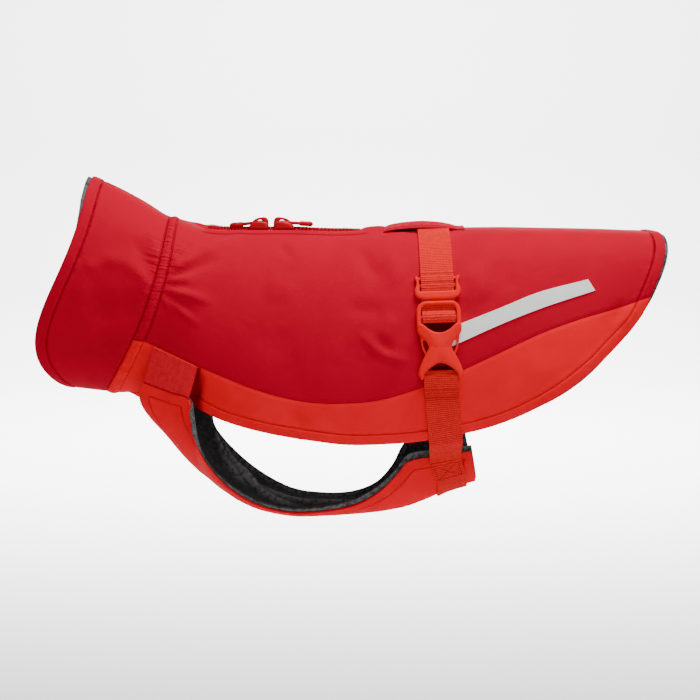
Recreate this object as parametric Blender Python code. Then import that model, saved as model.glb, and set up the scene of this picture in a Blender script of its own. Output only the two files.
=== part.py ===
"""A dog coat as it is worn: back and side panels, funnel collar, gathered neck channel,
belly panel on two wide elastics, webbing belt with two buckles, zip along the spine.

Metres. +X runs to the tail, +Y to the wearer's right, +Z up. The origin lies on the spine,
on the inner face of the back, where the wearer carries the coat.
"""

import math

import bmesh
import bpy
import numpy as np

# ---- cloth layers, measured from the outer face of the shell inwards
SEAM_GAP = 0.0003
SHELL = 0.0014
FLEECE = 0.0011
LINING_FACE = -SHELL - SEAM_GAP
LINING_BACK = LINING_FACE - FLEECE

# ---- stations, metres along the top of the coat from the collar's front edge
COLLAR_END = 0.0720
BODY_START = 0.0800
THROAT_END = 0.0930
TAIL_END = 0.4665
LINING_PEEK = 0.0030
ZIP_FROM, ZIP_TO = 0.1040, 0.2330
BELT_STATION = 0.2890

# ---- the coat's rings, outer face. Each is a slanted oval: its top and its lowest point in
# side view, its half width, how square it is (1 is an oval, less is boxier), and how far its
# side bows rearwards, most at the share "peak" of the way down.
RING_COLUMNS = "station x_top z_top x_low z_low half boxy bow peak"
RINGS = (
    (0.0000, -0.2071, 0.0479, -0.2310, -0.1209, 0.0540, 1.00, -0.0235, 0.75),
    (0.0240, -0.1860, 0.0361, -0.2225, -0.1224, 0.0560, 0.97, -0.0120, 0.73),
    (0.0480, -0.1650, 0.0246, -0.2100, -0.1239, 0.0570, 0.94, 0.0020, 0.62),
    (0.0720, -0.1440, 0.0135, -0.1964, -0.1254, 0.0580, 0.92, 0.0110, 0.50),
    (0.0800, -0.1376, 0.0119, -0.1867, -0.1264, 0.0585, 0.92, 0.0110, 0.50),
    (0.0930, -0.1253, 0.0086, -0.1720, -0.1289, 0.0610, 0.90, 0.0100, 0.50),
    (0.1010, -0.1175, 0.0060, -0.1590, -0.1404, 0.0630, 0.89, 0.0090, 0.50),
    (0.1100, -0.1090, 0.0044, -0.1465, -0.1574, 0.0655, 0.88, 0.0080, 0.50),
    (0.1250, -0.0950, 0.0038, -0.1290, -0.1804, 0.0685, 0.87, 0.0060, 0.50),
    (0.1450, -0.0770, 0.0038, -0.1050, -0.2024, 0.0725, 0.85, 0.0040, 0.50),
    (0.1750, -0.0480, 0.0038, -0.0660, -0.2229, 0.0765, 0.84, 0.0020, 0.50),
    (0.2230, 0.0000, 0.0028, -0.0020, -0.2294, 0.0800, 0.83, 0.0000, 0.50),
    (0.2400, 0.0170, 0.0042, 0.0190, -0.2276, 0.0801, 0.83, 0.0000, 0.48),
    (0.2630, 0.0400, 0.0054, 0.0450, -0.2234, 0.0800, 0.82, 0.0000, 0.45),
    (0.3030, 0.0800, 0.0056, 0.0880, -0.2124, 0.0790, 0.80, 0.0000, 0.38),
    (0.3430, 0.1200, 0.0060, 0.1260, -0.2054, 0.0770, 0.75, 0.0000, 0.30),
    (0.3830, 0.1600, 0.0054, 0.1500, -0.2014, 0.0740, 0.67, 0.0004, 0.22),
    (0.4230, 0.2000, 0.0046, 0.1680, -0.1989, 0.0700, 0.54, 0.0020, 0.17),
    (0.4530, 0.2300, 0.0038, 0.1740, -0.1984, 0.0645, 0.42, 0.0052, 0.15),
    (0.4685, 0.2455, 0.0040, 0.1756, -0.1984, 0.0615, 0.35, 0.0071, 0.14),
)

# ---- two lines in side view, as x and z: the seam of back and side panels, the lower hem
SEAM_LINE = (
    (-0.1900, -0.0764), (-0.1640, -0.0794), (-0.1531, -0.0834), (-0.1350, -0.0912),
    (-0.1176, -0.0989), (-0.1005, -0.1057), (-0.0771, -0.1146), (-0.0539, -0.1213),
    (-0.0308, -0.1254), (-0.0050, -0.1260), (0.0231, -0.1233), (0.0538, -0.1141),
    (0.0846, -0.1011), (0.1153, -0.0869), (0.1461, -0.0728), (0.1771, -0.0618),
    (0.2088, -0.0531), (0.2275, -0.0469), (0.2450, -0.0414),
)
HEM_LINE = (
    (-0.2000, -0.1319), (-0.1700, -0.1304), (-0.1500, -0.1299), (-0.1244, -0.1309),
    (-0.1010, -0.1406), (-0.0776, -0.1474), (-0.0543, -0.1522), (-0.0310, -0.1557),
    (0.0000, -0.1591), (0.0388, -0.1579), (0.0698, -0.1541), (0.0930, -0.1494),
    (0.1162, -0.1428), (0.1394, -0.1330), (0.1625, -0.1205), (0.1856, -0.1031),
    (0.2012, -0.0882), (0.2169, -0.0721), (0.2248, -0.0622), (0.2328, -0.0500),
    (0.2420, -0.0334),
)

# ---- soft folds: a ridge (or a trough, if its height is below zero) along a line in side
# view. The columns are side, x_from, z_from, x_to, z_to, width, height.
FOLDS = (
    (-1, -0.2180, -0.0454, -0.1640, -0.0374, 0.0110, 0.0022),
    (-1, -0.2120, -0.0094, -0.1600, -0.0304, 0.0100, -0.0016),
    (-1, -0.2300, -0.0774, -0.1800, -0.0574, 0.0130, -0.0014),
    (-1, -0.1430, -0.0274, -0.1150, -0.0184, 0.0050, 0.0012),
    (-1, -0.1450, -0.0434, -0.1180, -0.0534, 0.0055, 0.0013),
    (-1, -0.1400, -0.0354, -0.0850, -0.0354, 0.0070, -0.0010),
    (-1, 0.0050, -0.0124, 0.0240, -0.0594, 0.0120, -0.0016),
    (-1, 0.0900, -0.0224, 0.1050, -0.0474, 0.0140, 0.0012),
    (-1, 0.1500, -0.0874, 0.1150, -0.1274, 0.0140, 0.0010),
    (1, -0.2200, -0.0274, -0.1650, -0.0424, 0.0120, 0.0020),
    (1, -0.2200, -0.0724, -0.1750, -0.0624, 0.0120, -0.0016),
    (1, -0.1440, -0.0354, -0.1100, -0.0274, 0.0060, 0.0012),
    (1, -0.1420, -0.0524, -0.1000, -0.0574, 0.0070, -0.0011),
    (1, 0.0080, -0.0174, 0.0200, -0.0674, 0.0130, -0.0014),
    (1, 0.1000, -0.0274, 0.1200, -0.0574, 0.0150, 0.0012),
    (1, 0.1550, -0.0824, 0.1250, -0.1224, 0.0150, 0.0010),
)

# ---- the belly panel's sections, outer face: the middle and the left edge in side view, the
# half width at the edge, how far the section wraps, how square it is, how far its side juts
# forwards, and how much higher the right edge hangs
BELLY_COLUMNS = "section x_mid z_mid x_edge z_edge half wrap boxy jut lift"
BELLY_ROWS = (
    (0, -0.1465, -0.1634, -0.1620, -0.1132, 0.0530, 80, 1.00, -0.0080, 0.000),
    (1, -0.1400, -0.1724, -0.1500, -0.1171, 0.0575, 80, 1.00, -0.0040, 0.000),
    (2, -0.1304, -0.1829, -0.1380, -0.1209, 0.0625, 80, 1.00, 0.0000, 0.000),
    (3, -0.1215, -0.1914, -0.1257, -0.1248, 0.0670, 80, 1.00, 0.0000, 0.000),
    (4, -0.1140, -0.1969, -0.1247, -0.1414, 0.0660, 78, 0.98, 0.0000, 0.001),
    (5, -0.1060, -0.2032, -0.1218, -0.1579, 0.0635, 74, 0.97, 0.0000, 0.003),
    (6, -0.0960, -0.2099, -0.1140, -0.1754, 0.0590, 68, 0.95, 0.0000, 0.004),
    (7, -0.0840, -0.2169, -0.0990, -0.1939, 0.0520, 60, 0.93, 0.0000, 0.004),
    (8, -0.0680, -0.2229, -0.0765, -0.2098, 0.0450, 50, 0.92, 0.0000, 0.002),
    (9, -0.0440, -0.2269, -0.0490, -0.2180, 0.0400, 42, 0.90, 0.0000, 0.000),
    (10, -0.0180, -0.2267, -0.0210, -0.2170, 0.0385, 42, 0.88, 0.0000, -0.003),
    (11, 0.0050, -0.2242, 0.0030, -0.2116, 0.0385, 50, 0.84, 0.0000, -0.007),
    (12, 0.0240, -0.2206, 0.0230, -0.2008, 0.0395, 60, 0.78, 0.0000, -0.011),
    (13, 0.0380, -0.2169, 0.0365, -0.1885, 0.0415, 70, 0.70, 0.0000, -0.010),
    (14, 0.0470, -0.2139, 0.0460, -0.1774, 0.0430, 76, 0.64, 0.0000, -0.005),
    (15, 0.0630, -0.2086, 0.0625, -0.1734, 0.0435, 80, 0.60, 0.0000, -0.001),
    (16, 0.0800, -0.2030, 0.0790, -0.1711, 0.0430, 80, 0.58, 0.0000, 0.000),
    (17, 0.0970, -0.1978, 0.0960, -0.1686, 0.0420, 80, 0.56, 0.0000, 0.000),
)
EAR_SECTIONS = 3
FLEECE_RIM = 0.0038
JUT_PEAK = 0.8
BELT_SECTION, SECTION_LENGTH = 16.0, 0.0165

# ---- webbing and hardware; heights are above the panel they lie on
WEBBING_WIDTH = 0.0250
WEBBING = 0.0014
CLEAR = 0.0004
BUCKLE_LOW = 0.0011
TRIGLIDE_TOP_Z = -0.0299
BUCKLE_TOP_Z = -0.0486

# ---- the zip and its two pulls
COIL_HALF, COIL_LOW, COIL_HIGH = 0.0031, 0.0014, 0.0030
TAPE_HALF = 0.0090
SLIDER_LENGTH, SLIDER_HALF, SLIDER_HIGH = 0.0140, 0.0048, 0.0052
BRIDGE_HALF, BRIDGE_HIGH = 0.0011, 0.0099
PULL_AXIS_HIGH = 0.0071
FRONT_SLIDER_X, REAR_SLIDER_X = -0.0739, -0.0527
BRIDGE_SHIFT = 0.0016

# ---- mesh fineness
BACK_CELLS, SIDE_CELLS = 8, 5
COLLAR_AROUND = 28
COLLAR_ROWS = (0.0015, 0.0075, 0.0200, 0.0330, 0.0460, 0.0590)
BODY_ROWS = (
    0.0865, 0.0930, 0.0965, 0.1000, 0.1040, 0.1100, 0.1200, 0.1340, 0.1520, 0.1740, 0.2020,
    0.2330, 0.2580, 0.2830, 0.3100, 0.3370, 0.3620, 0.3840, 0.4030, 0.4200, 0.4350, 0.4480,
    0.4580,
)
RING_SAMPLES = 160
RING_EASE = 2.5
NORMAL_STEP = 0.0015


# ---------------------------------------------------------------- curves and tables

def hermite(places, values, at):
    """A smooth curve through a table's rows: values is one row of numbers for each place."""
    places, values = np.asarray(places, float), np.asarray(values, float)
    gap = np.diff(places)
    slope = np.diff(values, axis=0) / gap[:, None]
    inner = (slope[:-1] * gap[1:, None] + slope[1:] * gap[:-1, None]) / (gap[1:] + gap[:-1])[:, None]
    turn = np.vstack([slope[:1], inner, slope[-1:]])
    i = int(np.clip(np.searchsorted(places, at) - 1, 0, len(gap) - 1))
    h, t = gap[i], (at - places[i]) / gap[i]
    if t < 0 or t > 1:
        edge = 0 if t < 0 else 1
        return values[i + edge] + turn[i + edge] * (at - places[i + edge])
    return (
        values[i] * (1 + 2 * t) * (1 - t) ** 2 + turn[i] * h * t * (1 - t) ** 2
        + values[i + 1] * t * t * (3 - 2 * t) + turn[i + 1] * h * t * t * (t - 1)
    )


def table_row(columns, rows, at):
    """The row of a table at a place between its rows, as a dictionary of its columns."""
    rows = np.asarray(rows, float)
    names = columns.split()[1:]
    return dict(zip(names, hermite(rows[:, 0], rows[:, 1:], at)))


def line_z(line, x):
    points = np.asarray(line)
    return np.interp(x, points[:, 0], points[:, 1])


def smooth_line(line, steps=8):
    """The same line with more points, on a smooth curve through its own."""
    points = np.asarray(line)
    places = np.linspace(0, len(points) - 1, (len(points) - 1) * steps + 1)
    return np.array([hermite(np.arange(len(points)), points, p) for p in places])


SMOOTH_SEAM = smooth_line(SEAM_LINE)
SMOOTH_HEM = smooth_line(HEM_LINE)


def bow_shape(share, peak):
    """0 at both ends of a ring's side and 1 at the peak."""
    fore, aft = max(1.0, peak / (1 - peak)), max(1.0, (1 - peak) / peak)
    top = (fore / (fore + aft)) ** fore * (aft / (fore + aft)) ** aft
    return share ** fore * (1 - share) ** aft / top


# ---------------------------------------------------------------- the coat's surface

class Ring:
    """Half of one ring, from the spine to its lowest point, by length along the cloth."""

    def __init__(self, station):
        row = table_row(RING_COLUMNS, RINGS, station)
        u = np.linspace(0, 1, RING_SAMPLES)
        ease = u ** RING_EASE / (u ** RING_EASE + (1 - u) ** RING_EASE)
        angle = math.pi * ease
        share = (1 - np.cos(angle)) / 2
        self.x = row["x_top"] + (row["x_low"] - row["x_top"]) * share
        self.x = self.x + row["bow"] * bow_shape(share, row["peak"])
        self.z = row["z_top"] + (row["z_low"] - row["z_top"]) * share
        self.y = row["half"] * np.abs(np.sin(angle)) ** row["boxy"]
        self.y[-1] = 0.0
        step = np.sqrt(np.diff(self.x) ** 2 + np.diff(self.y) ** 2 + np.diff(self.z) ** 2)
        self.length = np.concatenate([[0], np.cumsum(step)])
        self.whole = self.length[-1]
        self.seam = self.crossing(SMOOTH_SEAM)
        self.hem = self.whole if station <= THROAT_END else self.crossing(SMOOTH_HEM)

    def crossing(self, line):
        """The length from the spine at which the ring meets a line of the side view."""
        above = self.z - line_z(line, self.x)
        first = int(np.argmax(above < 0))
        if above[first] >= 0:
            return self.whole
        share = above[first - 1] / (above[first - 1] - above[first])
        return self.length[first - 1] + share * (self.length[first] - self.length[first - 1])

    def at_z(self, z):
        return float(np.interp(-z, -self.z, self.length))

    def point(self, length):
        place = min(abs(length), self.whole)
        side = 1 if length >= 0 else -1
        x, y, z = (np.interp(place, self.length, v) for v in (self.x, self.y, self.z))
        return np.array([x, side * y, z])


RING_CACHE = {}


def ring(station):
    key = round(station, 6)
    if key not in RING_CACHE:
        RING_CACHE[key] = Ring(key)
    return RING_CACHE[key]


def fold_height(point):
    """How far the soft folds lift the cloth at a point of the surface."""
    lift = 0.0
    for side, x0, z0, x1, z1, width, height in FOLDS:
        if side * point[1] <= 0:
            continue
        along = np.array([x1 - x0, z1 - z0])
        size = math.hypot(*along)
        here = np.array([point[0] - x0, point[2] - z0])
        share = float(here @ along) / size ** 2
        away = abs(here[0] * along[1] - here[1] * along[0]) / size
        fade = math.exp(-((share - 0.5) / 0.42) ** 4)
        lift += height * fade * math.exp(-(away / width) ** 2)
    return lift


def coat_point(station, length, out=0.0):
    """A point of the coat: length is the way along the cloth from the spine, below zero on
    the left side; out is how far it lies outside the shell's face."""
    here = ring(station)
    ahead, behind = ring(station + NORMAL_STEP), ring(station - NORMAL_STEP)
    share = length / here.whole
    across = here.point(length + NORMAL_STEP) - here.point(length - NORMAL_STEP)
    forward = ahead.point(share * ahead.whole) - behind.point(share * behind.whole)
    normal = np.cross(forward, across)
    normal /= np.linalg.norm(normal)
    point = here.point(length)
    return point + normal * (out + fold_height(point))


def belly_point(section, share, out=0.0):
    """A point of the belly panel: share runs from -1 at the left edge to 1 at the right."""
    def face(s, w):
        row = table_row(BELLY_COLUMNS, BELLY_ROWS, s)
        wrap = math.radians(row["wrap"])
        angle = min(abs(w), 1.12) * wrap
        rise = (1 - math.cos(angle)) / (1 - math.cos(wrap))
        y = row["half"] * (math.sin(angle) / math.sin(wrap)) ** row["boxy"]
        x = row["x_mid"] + (row["x_edge"] - row["x_mid"]) * rise
        x += row["jut"] * bow_shape(min(rise, 1.0), JUT_PEAK)
        top = row["z_edge"] + (row["lift"] if w > 0 else 0.0)
        return np.array([x, math.copysign(y, w), row["z_mid"] + (top - row["z_mid"]) * rise])

    step = 0.02
    across = face(section, share + step) - face(section, share - step)
    forward = face(section + step, share) - face(section - step, share)
    normal = np.cross(across, forward)
    normal /= np.linalg.norm(normal)
    return face(section, share) + normal * out


# ---------------------------------------------------------------- making meshes

def finish(name, verts, faces, material, smooth_angle=40):
    mesh = bpy.data.meshes.new(name)
    mesh.from_pydata([tuple(map(float, v)) for v in verts], [], faces)
    work = bmesh.new()
    work.from_mesh(mesh)
    bmesh.ops.recalc_face_normals(work, faces=work.faces)
    if work.calc_volume(signed=True) < 0:
        bmesh.ops.reverse_faces(work, faces=work.faces)
    work.to_mesh(mesh)
    work.free()
    mesh.materials.append(material)
    mesh.shade_smooth()
    mesh.set_sharp_from_angle(angle=math.radians(smooth_angle))
    obj = bpy.data.objects.new(name, mesh)
    bpy.context.scene.collection.objects.link(obj)
    return obj


def wall(name, outer, inner, material, tube=False):
    """A closed sheet of cloth between two grids of points; tube joins its two long edges."""
    outer, inner = np.asarray(outer), np.asarray(inner)
    rows, cols = outer.shape[:2]
    verts = np.concatenate([outer.reshape(-1, 3), inner.reshape(-1, 3)])
    under = rows * cols

    def at(i, j):
        return i * cols + j % cols

    faces = []
    around = cols if tube else cols - 1
    for i in range(rows - 1):
        for j in range(around):
            a, b, c, d = at(i, j), at(i, j + 1), at(i + 1, j + 1), at(i + 1, j)
            faces += [(a, b, c), (a, c, d)]
            faces += [(under + c, under + b, under + a), (under + d, under + c, under + a)]
    rims = [[at(0, j) for j in range(around + 1)], [at(rows - 1, j) for j in range(around + 1)]]
    if not tube:
        rims += [[at(i, 0) for i in range(rows)], [at(i, cols - 1) for i in range(rows)]]
    for rim in rims:
        for a, b in zip(rim, rim[1:]):
            faces.append((a, b, under + b, under + a))
    return finish(name, verts, faces, material)


def cells(name, xs, ys, zs, filled, place, material):
    """One solid from the filled cells of a block that is divided at xs, ys and zs; place puts
    each corner where it belongs."""
    size = (len(xs) - 1, len(ys) - 1, len(zs) - 1)
    held = {
        (i, j, k)
        for i in range(size[0]) for j in range(size[1]) for k in range(size[2])
        if filled(i, j, k)
    }
    sides = (
        ((-1, 0, 0), ((0, 0, 0), (0, 0, 1), (0, 1, 1), (0, 1, 0))),
        ((1, 0, 0), ((1, 0, 0), (1, 1, 0), (1, 1, 1), (1, 0, 1))),
        ((0, -1, 0), ((0, 0, 0), (1, 0, 0), (1, 0, 1), (0, 0, 1))),
        ((0, 1, 0), ((0, 1, 0), (0, 1, 1), (1, 1, 1), (1, 1, 0))),
        ((0, 0, -1), ((0, 0, 0), (0, 1, 0), (1, 1, 0), (1, 0, 0))),
        ((0, 0, 1), ((0, 0, 1), (1, 0, 1), (1, 1, 1), (0, 1, 1))),
    )
    index, verts, faces = {}, [], []
    for cell in sorted(held):
        for step, corners in sides:
            if tuple(c + s for c, s in zip(cell, step)) in held:
                continue
            face = []
            for corner in corners:
                key = tuple(c + s for c, s in zip(cell, corner))
                if key not in index:
                    index[key] = len(verts)
                    verts.append(place(xs[key[0]], ys[key[1]], zs[key[2]]))
                face.append(index[key])
            faces.append(face)
    return finish(name, verts, faces, material, smooth_angle=50)


def fabric(name, rgb, roughness, metallic=0.0):
    """A plain material; rgb is given as screen values from 0 to 255."""
    material = bpy.data.materials.new(name)
    material.use_nodes = True
    shader = material.node_tree.nodes["Principled BSDF"]
    linear = [((c / 255 + 0.055) / 1.055) ** 2.4 if c > 10 else c / 3295 for c in rgb]
    shader.inputs["Base Color"].default_value = (*linear, 1.0)
    shader.inputs["Roughness"].default_value = roughness
    shader.inputs["Metallic"].default_value = metallic
    return material


# ---------------------------------------------------------------- the panels

def body_stations(start, end):
    """Where a grid on the body has its rows: close together at the throat and at the tail."""
    return [start] + [s for s in BODY_ROWS if start < s < end] + [end]


def back_lengths(here, inset):
    seam = here.seam - inset
    return [seam * j / BACK_CELLS for j in range(-BACK_CELLS, BACK_CELLS + 1)]


def side_lengths(here, station, inset, past_hem=0.0):
    slit = SEAM_GAP / 2 if station <= THROAT_END else -past_hem
    low = here.hem - slit
    high = here.seam + inset
    return [high + (low - high) * j / SIDE_CELLS for j in range(SIDE_CELLS + 1)]


def coat_sheet(name, stations, lengths_at, face, back, material):
    outer = [[coat_point(s, g, face) for g in lengths_at(s)] for s in stations]
    inner = [[coat_point(s, g, back) for g in lengths_at(s)] for s in stations]
    return wall(name, outer, inner, material)


def make_body(crimson, orange, fleece):
    shell_rows = body_stations(BODY_START + SEAM_GAP / 2, TAIL_END)
    coat_sheet(
        "back_panel", shell_rows,
        lambda s: back_lengths(ring(s), SEAM_GAP / 2), 0.0, -SHELL, crimson,
    )
    for name, side in (("side_panel_left", -1), ("side_panel_right", 1)):
        coat_sheet(
            name, shell_rows,
            lambda s, side=side: [side * g for g in side_lengths(ring(s), s, SEAM_GAP / 2)],
            0.0, -SHELL, orange,
        )

    def lining_lengths(s):
        peek = LINING_PEEK * min(1.0, max(0.0, (s - 0.36) / 0.06))
        down = side_lengths(ring(s), s, 0.0, peek)
        back = back_lengths(ring(s), 0.0)
        return [-g for g in reversed(down[1:])] + back + down[1:]

    lining_rows = shell_rows + [TAIL_END + LINING_PEEK]
    coat_sheet("body_lining", lining_rows, lining_lengths, LINING_FACE, LINING_BACK, fleece)


def make_collar(crimson, fleece):
    def tube(name, stations, face, back, material):
        def grid(out):
            return [
                [
                    coat_point(s, ring(s).whole * (2 * j / COLLAR_AROUND - 1), out)
                    for j in range(COLLAR_AROUND)
                ]
                for s in stations
            ]
        return wall(name, grid(face), grid(back), material, tube=True)

    end = COLLAR_END - SEAM_GAP / 2
    rows = [*COLLAR_ROWS, end]
    tube("collar", rows, 0.0, -SHELL, crimson)
    tube("collar_lining", [0.0] + rows, LINING_FACE, LINING_BACK, fleece)


def make_channel(crimson, orange):
    """The gathered band between collar and body, in a crimson and an orange-red stretch."""
    start, end = COLLAR_END + SEAM_GAP / 2, BODY_START - SEAM_GAP / 2
    middle = (start + end) / 2
    gathers, puff, wave = 26, 0.0012, 0.0005

    def grid(low, high, count, out, swell):
        rows = []
        for station in (start, middle, end):
            here = ring(station)
            split = here.seam / here.whole
            row = []
            for j in range(count + 1):
                share = low(split) + (high(split) - low(split)) * j / count
                lift = puff if station == middle else 0.0
                ripple = wave * math.sin(gathers * math.pi * share) * (1 - abs(2 * abs(share) - 1))
                row.append(coat_point(station, here.whole * share, out + swell * (lift + ripple)))
            rows.append(row)
        return rows

    def band(name, low, high, count, material):
        wall(name, grid(low, high, count, 0.0, 1.0), grid(low, high, count, -SHELL, 1.0), material)

    gap = 0.0015
    band("neck_channel", lambda k: -k + gap, lambda k: k - gap, 64, crimson)
    band("neck_channel_throat_left", lambda k: -1 + gap, lambda k: -k - gap, 16, orange)
    band("neck_channel_throat_right", lambda k: k + gap, lambda k: 1 - gap, 16, orange)


def make_belly(orange, fleece):
    sections = [0, 0.8, 1.6, 2.4, 3, 3.5, 4, 4.5, 5, 5.6, 6.4, 7.3, 8.3, 9.3, 10.3, 11.3, 12.2]
    sections += [13, 13.6, 14.2, 15, 16, 17]
    cells_across = 10

    def grid(out, rim, rows_at):
        rows = []
        for section in rows_at:
            row = table_row(BELLY_COLUMNS, BELLY_ROWS, section)
            shares = [2 * j / cells_across - 1 for j in range(cells_across + 1)]
            if rim:
                shown = min(1.0, max(0.06, (section - EAR_SECTIONS) / 0.6))
                reach = 1 + shown * rim * math.tan(math.radians(row["wrap"]) / 2) / row["half"]
                shares = [-reach] + shares + [reach]
            rows.append([belly_point(section, share, out) for share in shares])
        return rows

    longer = [-0.06] + sections + [17.06]
    wall("belly_panel", grid(0.0, 0.0, sections), grid(-SHELL, 0.0, sections), orange)
    faces = [grid(out - SEAM_GAP, FLEECE_RIM, longer) for out in (LINING_FACE, LINING_BACK)]
    wall("belly_lining", faces[0], faces[1], fleece)


def make_elastics(elastic):
    """Wide elastics, from the side seam over the side panel to the belly panel's ears."""
    top_from, top_to, across, down = -0.1522, -0.1178, 5, 5
    for name, side in (("elastic_left", -1), ("elastic_right", 1)):
        grids = []
        for out in (WEBBING + CLEAR, CLEAR):
            rows = []
            for i in range(across + 1):
                x = top_from + (top_to - top_from) * i / across
                top = side_view_point(x, line_z(SMOOTH_SEAM, x) - 0.0006, side, out)
                low = belly_point(EAR_SECTIONS * i / across, side, out - WEBBING - CLEAR)
                low = low + (top - low) / np.linalg.norm(top - low) * SEAM_GAP
                rows.append([top + (low - top) * j / down for j in range(down + 1)])
            grids.append(rows)
        wall(name, grids[0], grids[1], elastic)


def side_view_place(x, z):
    """The station and the length of the coat's point that shows at x, z from the side."""
    low, high = 0.0, 0.4685
    for _ in range(30):
        middle = (low + high) / 2
        here = ring(middle)
        if np.interp(-z, -here.z, here.x) < x:
            low = middle
        else:
            high = middle
    station = (low + high) / 2
    return station, ring(station).at_z(z)


def side_view_point(x, z, side, out):
    station, length = side_view_place(x, z)
    return coat_point(station, side * length, out)


# ---------------------------------------------------------------- belt and hardware

def belt_map(side, start):
    """Puts a point of flat hardware on the coat: u to the tail, v down from start, n out."""
    def place(u, v, n):
        return coat_point(BELT_STATION + u, side * (start + v), n)
    return place


def track(points, count):
    """A smooth way through (length, height) points, evenly divided."""
    points = np.asarray(points)
    fine = smooth_line(points, 12)
    step = np.concatenate([[0], np.cumsum(np.hypot(*np.diff(fine, axis=0).T))])
    even = np.linspace(0, step[-1], count)
    return np.column_stack([np.interp(even, step, fine[:, k]) for k in (0, 1)])


def strip_faces(way, thickness):
    """The two faces of a strap whose lower face follows the way."""
    along = np.gradient(way, axis=0)
    along /= np.linalg.norm(along, axis=1)[:, None]
    normal = np.column_stack([-along[:, 1], along[:, 0]])
    return way + normal * thickness, way


def triglide_start():
    return ring(BELT_STATION).at_z(TRIGLIDE_TOP_Z)


def buckle_start():
    return ring(BELT_STATION).at_z(BUCKLE_TOP_Z)


def make_belt_over(webbing):
    """Webbing over the back, over the adjuster's bars and round the buckle's bar each side."""
    glide, buckle = triglide_start(), buckle_start()
    right = [
        (0.0, CLEAR), (0.020, CLEAR), (glide - 0.009, CLEAR), (glide - 0.0035, 0.0011),
        (glide, 0.0029), (glide + 0.003, 0.0030), (glide + 0.0080, 0.0029),
        (glide + 0.0108, 0.0018), (glide + 0.0130, CLEAR), (buckle, CLEAR),
        (buckle + 0.0035, CLEAR), (buckle + 0.0060, 0.0022), (buckle + 0.0085, 0.0040),
        (buckle + 0.0125, 0.0040), (buckle + 0.0150, 0.0022), (buckle + 0.0175, CLEAR),
    ]
    left = [(-s, n) for s, n in reversed(right[1:])]
    way = track(left + right, 74)
    outer, inner = strip_faces(way, WEBBING)
    half = WEBBING_WIDTH / 2

    def grid(face):
        return [[coat_point(BELT_STATION + u, s, n) for u in (-half, 0.0, half)] for s, n in face]

    return wall("belt_over", grid(outer), grid(inner), webbing)


def make_triglide(name, side, plastic):
    """A strap adjuster: side rails, a low top bar and middle bar, and a high bottom bar."""
    place = belt_map(side, triglide_start())
    xs = [-0.0170, -0.0136, 0.0136, 0.0170]
    ys = [0.0, 0.0028, 0.0062, 0.0088, 0.0126, 0.0160, 0.0185]
    zs = [CLEAR, 0.0024, 0.0046]
    waist = 0.0012

    def filled(i, j, k):
        if i != 1:
            return True
        if j in (0, 2):
            return k == 0
        return j in (4, 5) and k == 1

    def shape(u, v, n):
        edge = abs(u) > 0.015
        share = v / ys[-1]
        if edge:
            u -= math.copysign(waist * math.sin(math.pi * min(1, share * 1.5)), u)
            u -= math.copysign(0.0022, u) if v == ys[-1] else 0.0
            n = n - 0.0012 if n == zs[-1] else n
        return place(u, v, n)

    return cells(name, xs, ys, zs, filled, shape, plastic)


def make_male_half(name, side, plastic):
    """The strap end of the buckle: a round-cornered ladder with two spring arms below it."""
    place = belt_map(side, buckle_start())
    xs = [-0.0167, -0.0140, -0.0127, 0.0127, 0.0140, 0.0167]
    ys = [0.0, 0.0026, 0.0095, 0.0118, 0.0186, 0.0216, 0.0300, 0.0378]
    zs = [BUCKLE_LOW, 0.0022, 0.0036, 0.0052]
    outline = {0.0: 0.0042, 0.0026: 0.0014}

    def filled(i, j, k):
        arm = i in (0, 4)
        if j >= 5:
            return arm and k >= 1
        if i == 2:
            if j == 0:
                return k == 2
            if j == 2:
                return k <= 1
            return j == 4
        return True

    def shape(u, v, n):
        if abs(u) > 0.015:
            u -= math.copysign(outline.get(v, 0.0), u)
            n = n - 0.0010 if n == zs[-1] else n
        return place(u, v, n)

    return cells(name, xs, ys, zs, filled, shape, plastic)


def make_female_half(name, side, plastic):
    """The socket end of the buckle: waisted body, shoulders, and a bar between two lobes."""
    place = belt_map(side, buckle_start())
    widths = {
        0.0221: 0.0122, 0.0262: 0.0112, 0.0310: 0.0090, 0.0355: 0.0082, 0.0400: 0.0112,
        0.0440: 0.0160, 0.0480: 0.0169, 0.0524: 0.0170, 0.0549: 0.0170, 0.0570: 0.0166,
        0.0592: 0.0150,
    }
    ys = list(widths)
    xs = [-1.0, -0.78, -0.40, 0.0, 0.40, 0.78, 1.0]
    zs = [BUCKLE_LOW, 0.0024, 0.0058, 0.0082]
    arch_from = 7
    lobe_inside = 0.0131

    def filled(i, j, k):
        if j < arch_from:
            return True
        if i in (0, 5):
            return True
        return j == 8 and k == 0

    def shape(u, v, n):
        half = widths[v]
        crown = 1 - u * u
        arch = 0.0045 * crown if v == ys[arch_from] and n > 0.003 else 0.0
        if n == zs[-1]:
            n -= 0.0026 * u * u + (0.0024 if v > 0.05 else 0.0)
        if n == zs[-2]:
            n -= 0.0008 * u * u
        across = u * half
        if abs(u) == 0.78 and v >= ys[arch_from]:
            across = math.copysign(lobe_inside, u)
        return place(across, v - arch, n)

    return cells(name, xs, ys, zs, filled, shape, plastic)


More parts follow.
